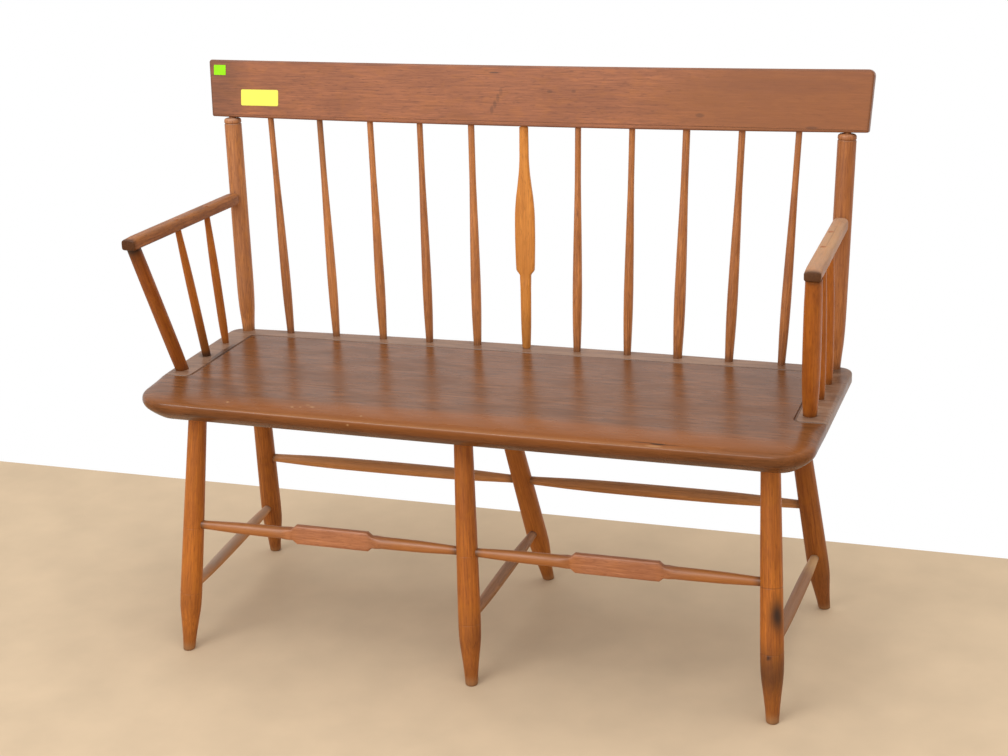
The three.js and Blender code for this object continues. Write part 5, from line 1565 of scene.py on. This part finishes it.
class BENCH_OT_arrow(bpy.types.Operator):
    """Shave the flat arrow in the middle of the back"""

    bl_idname = "bench.arrow"
    bl_label = "Arrow"

    def execute(self, context):
        back = context.scene.bench.back
        low, high = spindle_line(0, ARROW_SHIFT)
        along = (high - low).normalized()
        start, end = low - along * back.seat_socket, high + along * back.head_socket
        visible = (high - low).length
        blade, wide = back.arrow_thickness / 2, back.arrow_width / 2
        stem, tenon, neck = back.arrow_stem / 2, back.arrow_tenon / 2, back.arrow_neck / 2

        def at(share):
            return back.seat_socket + share * visible

        keys = [(0, tenon, tenon, 2), (back.seat_socket + ARROW_FOOT, tenon, tenon, 2)]
        keys += [(at(share), stem * width, stem * thick, 2) for share, width, thick in ARROW_STEM]
        flat, half_way = ARROW_SHOULDER
        keys += [(at(flat), stem, blade, BLADE_EXPONENT)]
        keys += [(at(half_way), (stem + wide) / 2, blade, BLADE_EXPONENT)]
        keys += [(at(share), wide * width, blade, BLADE_EXPONENT) for share, width in ARROW_BLADE]
        neck_thick = back.arrow_neck_thickness / 2
        keys += [(at(share), neck * width, neck_thick, NECK_EXPONENT) for share, width in ARROW_NECK]
        neck_end = at(1) - ARROW_HEAD
        keys += [(neck_end, neck, neck_thick, 2), (neck_end + SHOULDER_STEP, tenon, tenon, 2)]
        keys += [((end - start).length, tenon, tenon, 2)]
        axes = piece_axes(start, end)

        def marks(spot, along):
            return 0.0, stain(ARROW_DIRT, along - back.seat_socket)

        step, sides = ARROW_DETAIL
        mesh = ring_piece("back_spindle_arrow", axes, fair_stations(keys, step), sides, marks)
        finish_piece("back_spindle_arrow", mesh, finish("arrow_wood"), axes)
        return {"FINISHED"}


class BENCH_OT_posts(bpy.types.Operator):
    """Turn the two back posts with their rings and shoulders"""

    bl_idname = "bench.posts"
    bl_label = "Back posts"

    def execute(self, context):
        back = context.scene.bench.back
        for side, word in ((-1, "left"), (1, "right")):
            low, high = post_line(side)
            along = (high - low).normalized()
            start, end = low - along * back.post_socket, high + along * back.post_head_socket
            visible = (high - low).length
            head = back.post_socket + visible - back.post_neck
            keys = [round_station(0, back.post_foot)]
            for share, growth in POST_PROFILE:
                width = back.post_foot + (back.post - back.post_foot) * growth
                keys.append(round_station(back.post_socket + share * visible, width))
            for below, width in POST_SHOULDER:
                keys.append(round_station(head - below * back.post_cap, width * back.post))
            keys.append(round_station(head + SHOULDER_STEP, back.post_tenon))
            keys.append(round_station((end - start).length, back.post_tenon))
            ring = head - back.post_ring
            groove = (ring, back.post_ring_width / 2, back.post_ring_depth)
            axes = piece_axes(start, end)

            def marks(spot, along):
                dirt_and_shade = stain(POST_FOOT_DIRT, along - back.post_socket)
                return 0.0, dirt_and_shade + stain(POST_RING_DIRT, abs(along - ring))

            name = f"back_post_{word}"
            step, sides = POST_DETAIL
            mesh = ring_piece(name, axes, fair_stations(keys, step, [groove]), sides, marks)
            tone, dust = POST_LOOKS[word]
            finish_piece(name, mesh, finish("post_wood"), axes, tone, dust)
        return {"FINISHED"}


class BENCH_OT_arms(bpy.types.Operator):
    """Build the arms, with what carries them and the tenons that show on top"""

    bl_idname = "bench.arms"
    bl_label = "Arms"

    def arm(self, arms, side, word):
        """One arm with the tenon in its post. Gives its front end and direction."""
        front, shoulder = arm_line(side)
        body = (shoulder - front).length
        along = (shoulder - front).normalized()
        tenon = arms.tenon / 2
        axes = piece_axes(front, shoulder)
        tone, dust, wear, slope = ARM_LOOKS[word]
        wide, thick = arms.width / 2, arms.thickness / 2
        outline = (ARM_EXPONENT, ARM_UNDERSIDE_EXPONENT)
        keys = []
        for degrees in ARM_END_TURNS:
            angle = math.radians(degrees)
            cut = arms.rounding * (1 - math.sin(angle))
            place = arms.rounding * (1 - math.cos(angle))
            keys.append((place, wide - cut, thick - cut, *outline))
        for share, width, height in ARM_TAIL:
            place = body - arms.tail * (1 - share)
            keys.append((place, wide * width, thick * height, *outline))
        for place in (body + SHOULDER_STEP, body + arms.tenon_length):
            keys.append((place, tenon, tenon, 2, 2))

        def marks(spot, place):
            dark_ends = stain(ARM_FRONT_DIRT, place) + stain(ARM_TAIL_DIRT, body - place)
            rubbed = wear * fade(abs(place - body * ARM_WEAR_PLACE), body * ARM_WEAR_REACH)
            return rubbed, dark_ends

        step, sides = ARM_DETAIL
        mesh = ring_piece(f"arm_{word}", axes, fair_stations(keys, step), sides, marks)
        # The top of an arm is its own negative Y.
        for vertex in mesh.vertices:
            if vertex.co.y < 0:
                vertex.co.y *= 1 - slope * fade(vertex.co.z, arms.nose)
        finish_piece(f"arm_{word}", mesh, finish("arm_wood"), axes, tone, dust)
        return front, along

    def support(self, name, side, kind, front, along):
        """Post or spindle under an arm, with its tenon in the arm."""
        bench = bpy.context.scene.bench
        (seat_x, seat_y), (head_x, head_y), *lengths = ARM_SUPPORTS[kind]
        below, tenon, depth, rise = (length * MM for length in lengths)
        profile, swell, foot_shift, head_shift = ARM_SUPPORT_SHAPES[kind][0 if side < 0 else 1]
        widest = swell * MM
        head = row_point(side * head_x + head_shift, head_y, 0)
        head.z = front.z + along.z / along.y * (head.y - front.y) - below
        seat_end = row_point(side * seat_x + foot_shift, seat_y, bench.seat.height / MM)
        seat_end = at_seat_depth(seat_end, head, 0)
        lean = (head - seat_end).normalized()
        visible = (head - seat_end).length
        start = seat_end - lean * depth
        axes = piece_axes(start, head)
        thick = bench.arms.thickness
        keys = [round_station(0, profile[0][1] * widest)]
        for share, width in profile:
            keys.append(round_station(depth + share * visible, width * widest))
        under = depth + visible + (below - thick * ARM_POST_END if below else 0)
        keys = [key for key in keys if key[0] < under - KEY_CLEARANCE]
        keys.append(round_station(under, profile[-1][1] * widest))
        keys.append(round_station(under + SUPPORT_SHOULDER, tenon))
        up = Vector((0, -along.z, along.y)).normalized()
        top = front + up * rise
        past_head = (top - head).dot(up) / lean.dot(up)
        keys.append(round_station(depth + visible + past_head, tenon))

        def marks(spot, place):
            above, below_head = place - depth, under - place
            dirt_and_shade = stain(SUPPORT_FOOT_DIRT, above) + stain(SUPPORT_HEAD_DIRT, below_head)
            if name == "arm_post_left":
                dirt_and_shade += sum(stain(mark, below_head) for mark in LEFT_POST_HEAD_DIRT)
            if name == "arm_post_right":
                dirt_and_shade += stain(RIGHT_POST_FOOT_DIRT, above)
            if name == "arm_spindle_left_front":
                dirt_and_shade += stain(LEFT_SPINDLE_FOOT_DIRT, above)
            return 0.0, min(dirt_and_shade if place < under else TENON_DIRT, 1)

        step, sides = SUPPORT_DETAIL
        stations = fair_stations(keys, step)
        planes = [(len(stations) - 1, top, up)]
        mesh = ring_piece(name, axes, stations, sides, marks, planes)
        tone = LEFT_ARM_POST_TONE if kind == "post" and side < 0 else ARM_SUPPORT_TONE
        finish_piece(name, mesh, finish("arm_post_wood"), axes, tone)

    def execute(self, context):
        arms = context.scene.bench.arms
        for side, word in ((-1, "left"), (1, "right")):
            front, along = self.arm(arms, side, word)
            self.support(f"arm_post_{word}", side, "post", front, along)
            for kind in ("front", "rear"):
                self.support(f"arm_spindle_{word}_{kind}", side, kind, front, along)
        return {"FINISHED"}


class BENCH_OT_labels(bpy.types.Operator):
    """Stick the two blank paper labels on the crest"""

    bl_idname = "bench.labels"
    bl_label = "Labels"

    def execute(self, context):
        bench = context.scene.bench
        labels = bench.labels
        for word in ("green", "yellow"):
            width, height = getattr(labels, f"{word}_width"), getattr(labels, f"{word}_height")
            x, rise = getattr(labels, f"{word}_x"), getattr(labels, f"{word}_rise")
            corner = getattr(labels, f"{word}_corner")
            points = []
            for right, up, degrees in ((1, -1, 270), (1, 1, 0), (-1, 1, 90), (-1, -1, 180)):
                centre = (x + right * (width / 2 - corner), rise + up * (height / 2 - corner))
                angle = math.radians(degrees)
                points.append(
                    (centre[0] + corner * math.cos(angle), centre[1] + corner * math.sin(angle))
                )
                points += arc_points(centre, corner, degrees, degrees + 90, LABEL_CORNER_STEPS)
            flat = [0.0] * len(points)
            near = [-labels.thickness] * len(points)
            mesh = layered_mesh(f"label_{word}", points, [flat, flat], [near, flat], crest_spot)
            # Matt fluorescent sticker paper: one even, very bright colour without a gleam.
            material = plain_finish(f"{word}_paper", tuple(getattr(bench.colours, word)), *PAPER_LOOK)
            finish_piece(f"label_{word}", mesh, material)
        return {"FINISHED"}


class BENCH_OT_stage(bpy.types.Operator):
    """Lay the floor and set the lamps, the background and the camera"""

    bl_idname = "bench.stage"
    bl_label = "Stage"

    def floor(self, colours):
        """Pale floor that ends behind the bench, where the background starts."""
        mesh = bpy.data.meshes.new("floor")
        mesh.from_pydata([(x, y, 0) for x, y in FLOOR_CORNERS], [], [(0, 1, 2, 3)])
        floor = bpy.data.objects.new("floor", mesh)
        bpy.context.scene.collection.objects.link(floor)
        # Matt laminate: pale, even and nearly without a gleam, so it shows the bench's soft shadow.
        mesh.materials.append(plain_finish("matt_laminate", tuple(colours.floor), *FLOOR_LOOK))

    def lamp(self, name, place, target, sides, watts):
        """Soft rectangular lamp that points at its target."""
        light = bpy.data.lights.new(name, "AREA")
        light.shape = "RECTANGLE"
        light.size, light.size_y = sides
        light.energy = watts
        lamp = bpy.data.objects.new(name, light)
        lamp.location = place
        lamp.rotation_euler = (Vector(target) - Vector(place)).to_track_quat("-Z", "Y").to_euler()
        bpy.context.scene.collection.objects.link(lamp)
        return lamp

    def background(self, colours):
        """World that lights softly. The camera, gloss and glass see the pale background instead."""
        world = bpy.data.worlds.new("soft_room")
        world.use_nodes = True
        tree = world.node_tree
        tree.nodes.clear()
        rays = add_node(tree, "ShaderNodeLightPath").outputs
        seen = rays["Is Camera Ray"]
        for other in ("Is Glossy Ray", "Is Transmission Ray"):
            links = {0: seen, 1: rays[other]}
            seen = add_node(tree, "ShaderNodeMath", {"operation": "MAXIMUM"}, links).outputs[0]
        light = add_node(
            tree, "ShaderNodeBackground", {"Color": (*colours.room, 1), "Strength": ROOM_STRENGTH}
        )
        shown = add_node(
            tree, "ShaderNodeBackground", {"Color": (*colours.background, 1), "Strength": 1.0}
        )
        links = {0: seen, 1: light.outputs[0], 2: shown.outputs[0]}
        either = add_node(tree, "ShaderNodeMixShader", links=links)
        add_node(tree, "ShaderNodeOutputWorld", links={"Surface": either.outputs[0]})
        bpy.context.scene.world = world

    def camera(self, stage):
        """Camera at the photograph's place, from its yaw, pitch, roll and focal length."""
        forward = Vector((
            -math.sin(stage.yaw) * math.cos(stage.pitch),
            math.cos(stage.yaw) * math.cos(stage.pitch),
            -math.sin(stage.pitch),
        ))
        level = Vector((math.cos(stage.yaw), math.sin(stage.yaw), 0))
        upright = level.cross(forward)
        right = level * math.cos(stage.roll) + upright * math.sin(stage.roll)
        up = upright * math.cos(stage.roll) - level * math.sin(stage.roll)
        turned = Matrix((right, up, -forward)).transposed().to_4x4()
        turned.translation = Vector(stage.camera)
        view = bpy.data.cameras.new("camera")
        view.sensor_width = SENSOR_WIDTH
        view.lens = stage.focal_pixels / IMAGE_WIDTH * SENSOR_WIDTH
        camera = bpy.data.objects.new("camera", view)
        camera.matrix_world = turned
        bpy.context.scene.collection.objects.link(camera)
        bpy.context.scene.camera = camera

    def execute(self, context):
        bench = context.scene.bench
        self.floor(bench.colours)
        lamps = {name: self.lamp(name, *lamp) for name, lamp in LAMPS.items()}
        lamps["gleam_strip"].visible_diffuse = False
        self.background(bench.colours)
        self.camera(bench.stage)
        context.scene.view_settings.view_transform = "Standard"
        return {"FINISHED"}


class BENCH_PT_panel(bpy.types.Panel):
    """Sidebar panel with the sizes, the colours and the steps"""

    bl_idname = "BENCH_PT_panel"
    bl_label = "Deacons bench"
    bl_space_type = "VIEW_3D"
    bl_region_type = "UI"
    bl_category = "Bench"

    def draw(self, context):
        bench = context.scene.bench
        for name in ("seat", "legs", "stretchers", "back", "crest", "arms", "labels", "colours", "stage"):
            group = getattr(bench, name)
            box = self.layout.box()
            box.label(text=name.capitalize())
            for setting in group.__annotations__:
                box.prop(group, setting)
        for step in STEPS:
            self.layout.operator(step.bl_idname)


STEPS = (
    BENCH_OT_seat, BENCH_OT_crest, BENCH_OT_legs, BENCH_OT_stretchers, BENCH_OT_spindles,
    BENCH_OT_arrow, BENCH_OT_posts, BENCH_OT_arms, BENCH_OT_labels, BENCH_OT_stage,
)
GROUPS = (
    SeatSizes, LegSizes, StretcherSizes, BackSizes, CrestSizes, ArmSizes, LabelSizes, FinishColours,
    StageSettings, BenchSettings,
)


def register():
    """Add the settings, the steps and the panel to Blender."""
    for kind in (*GROUPS, *STEPS, BENCH_PT_panel):
        bpy.utils.register_class(kind)
    bpy.types.Scene.bench = PointerProperty(
        type=BenchSettings, name="Bench", description="Sizes and colours of the bench"
    )


def unregister():
    """Take the settings, the steps and the panel away again."""
    del bpy.types.Scene.bench
    for kind in reversed((*GROUPS, *STEPS, BENCH_PT_panel)):
        bpy.utils.unregister_class(kind)


def main():
    """Build the bench step by step."""
    register()
    for step in STEPS:
        getattr(bpy.ops.bench, step.bl_idname.removeprefix("bench."))()


if __name__ == "__main__":
    main()
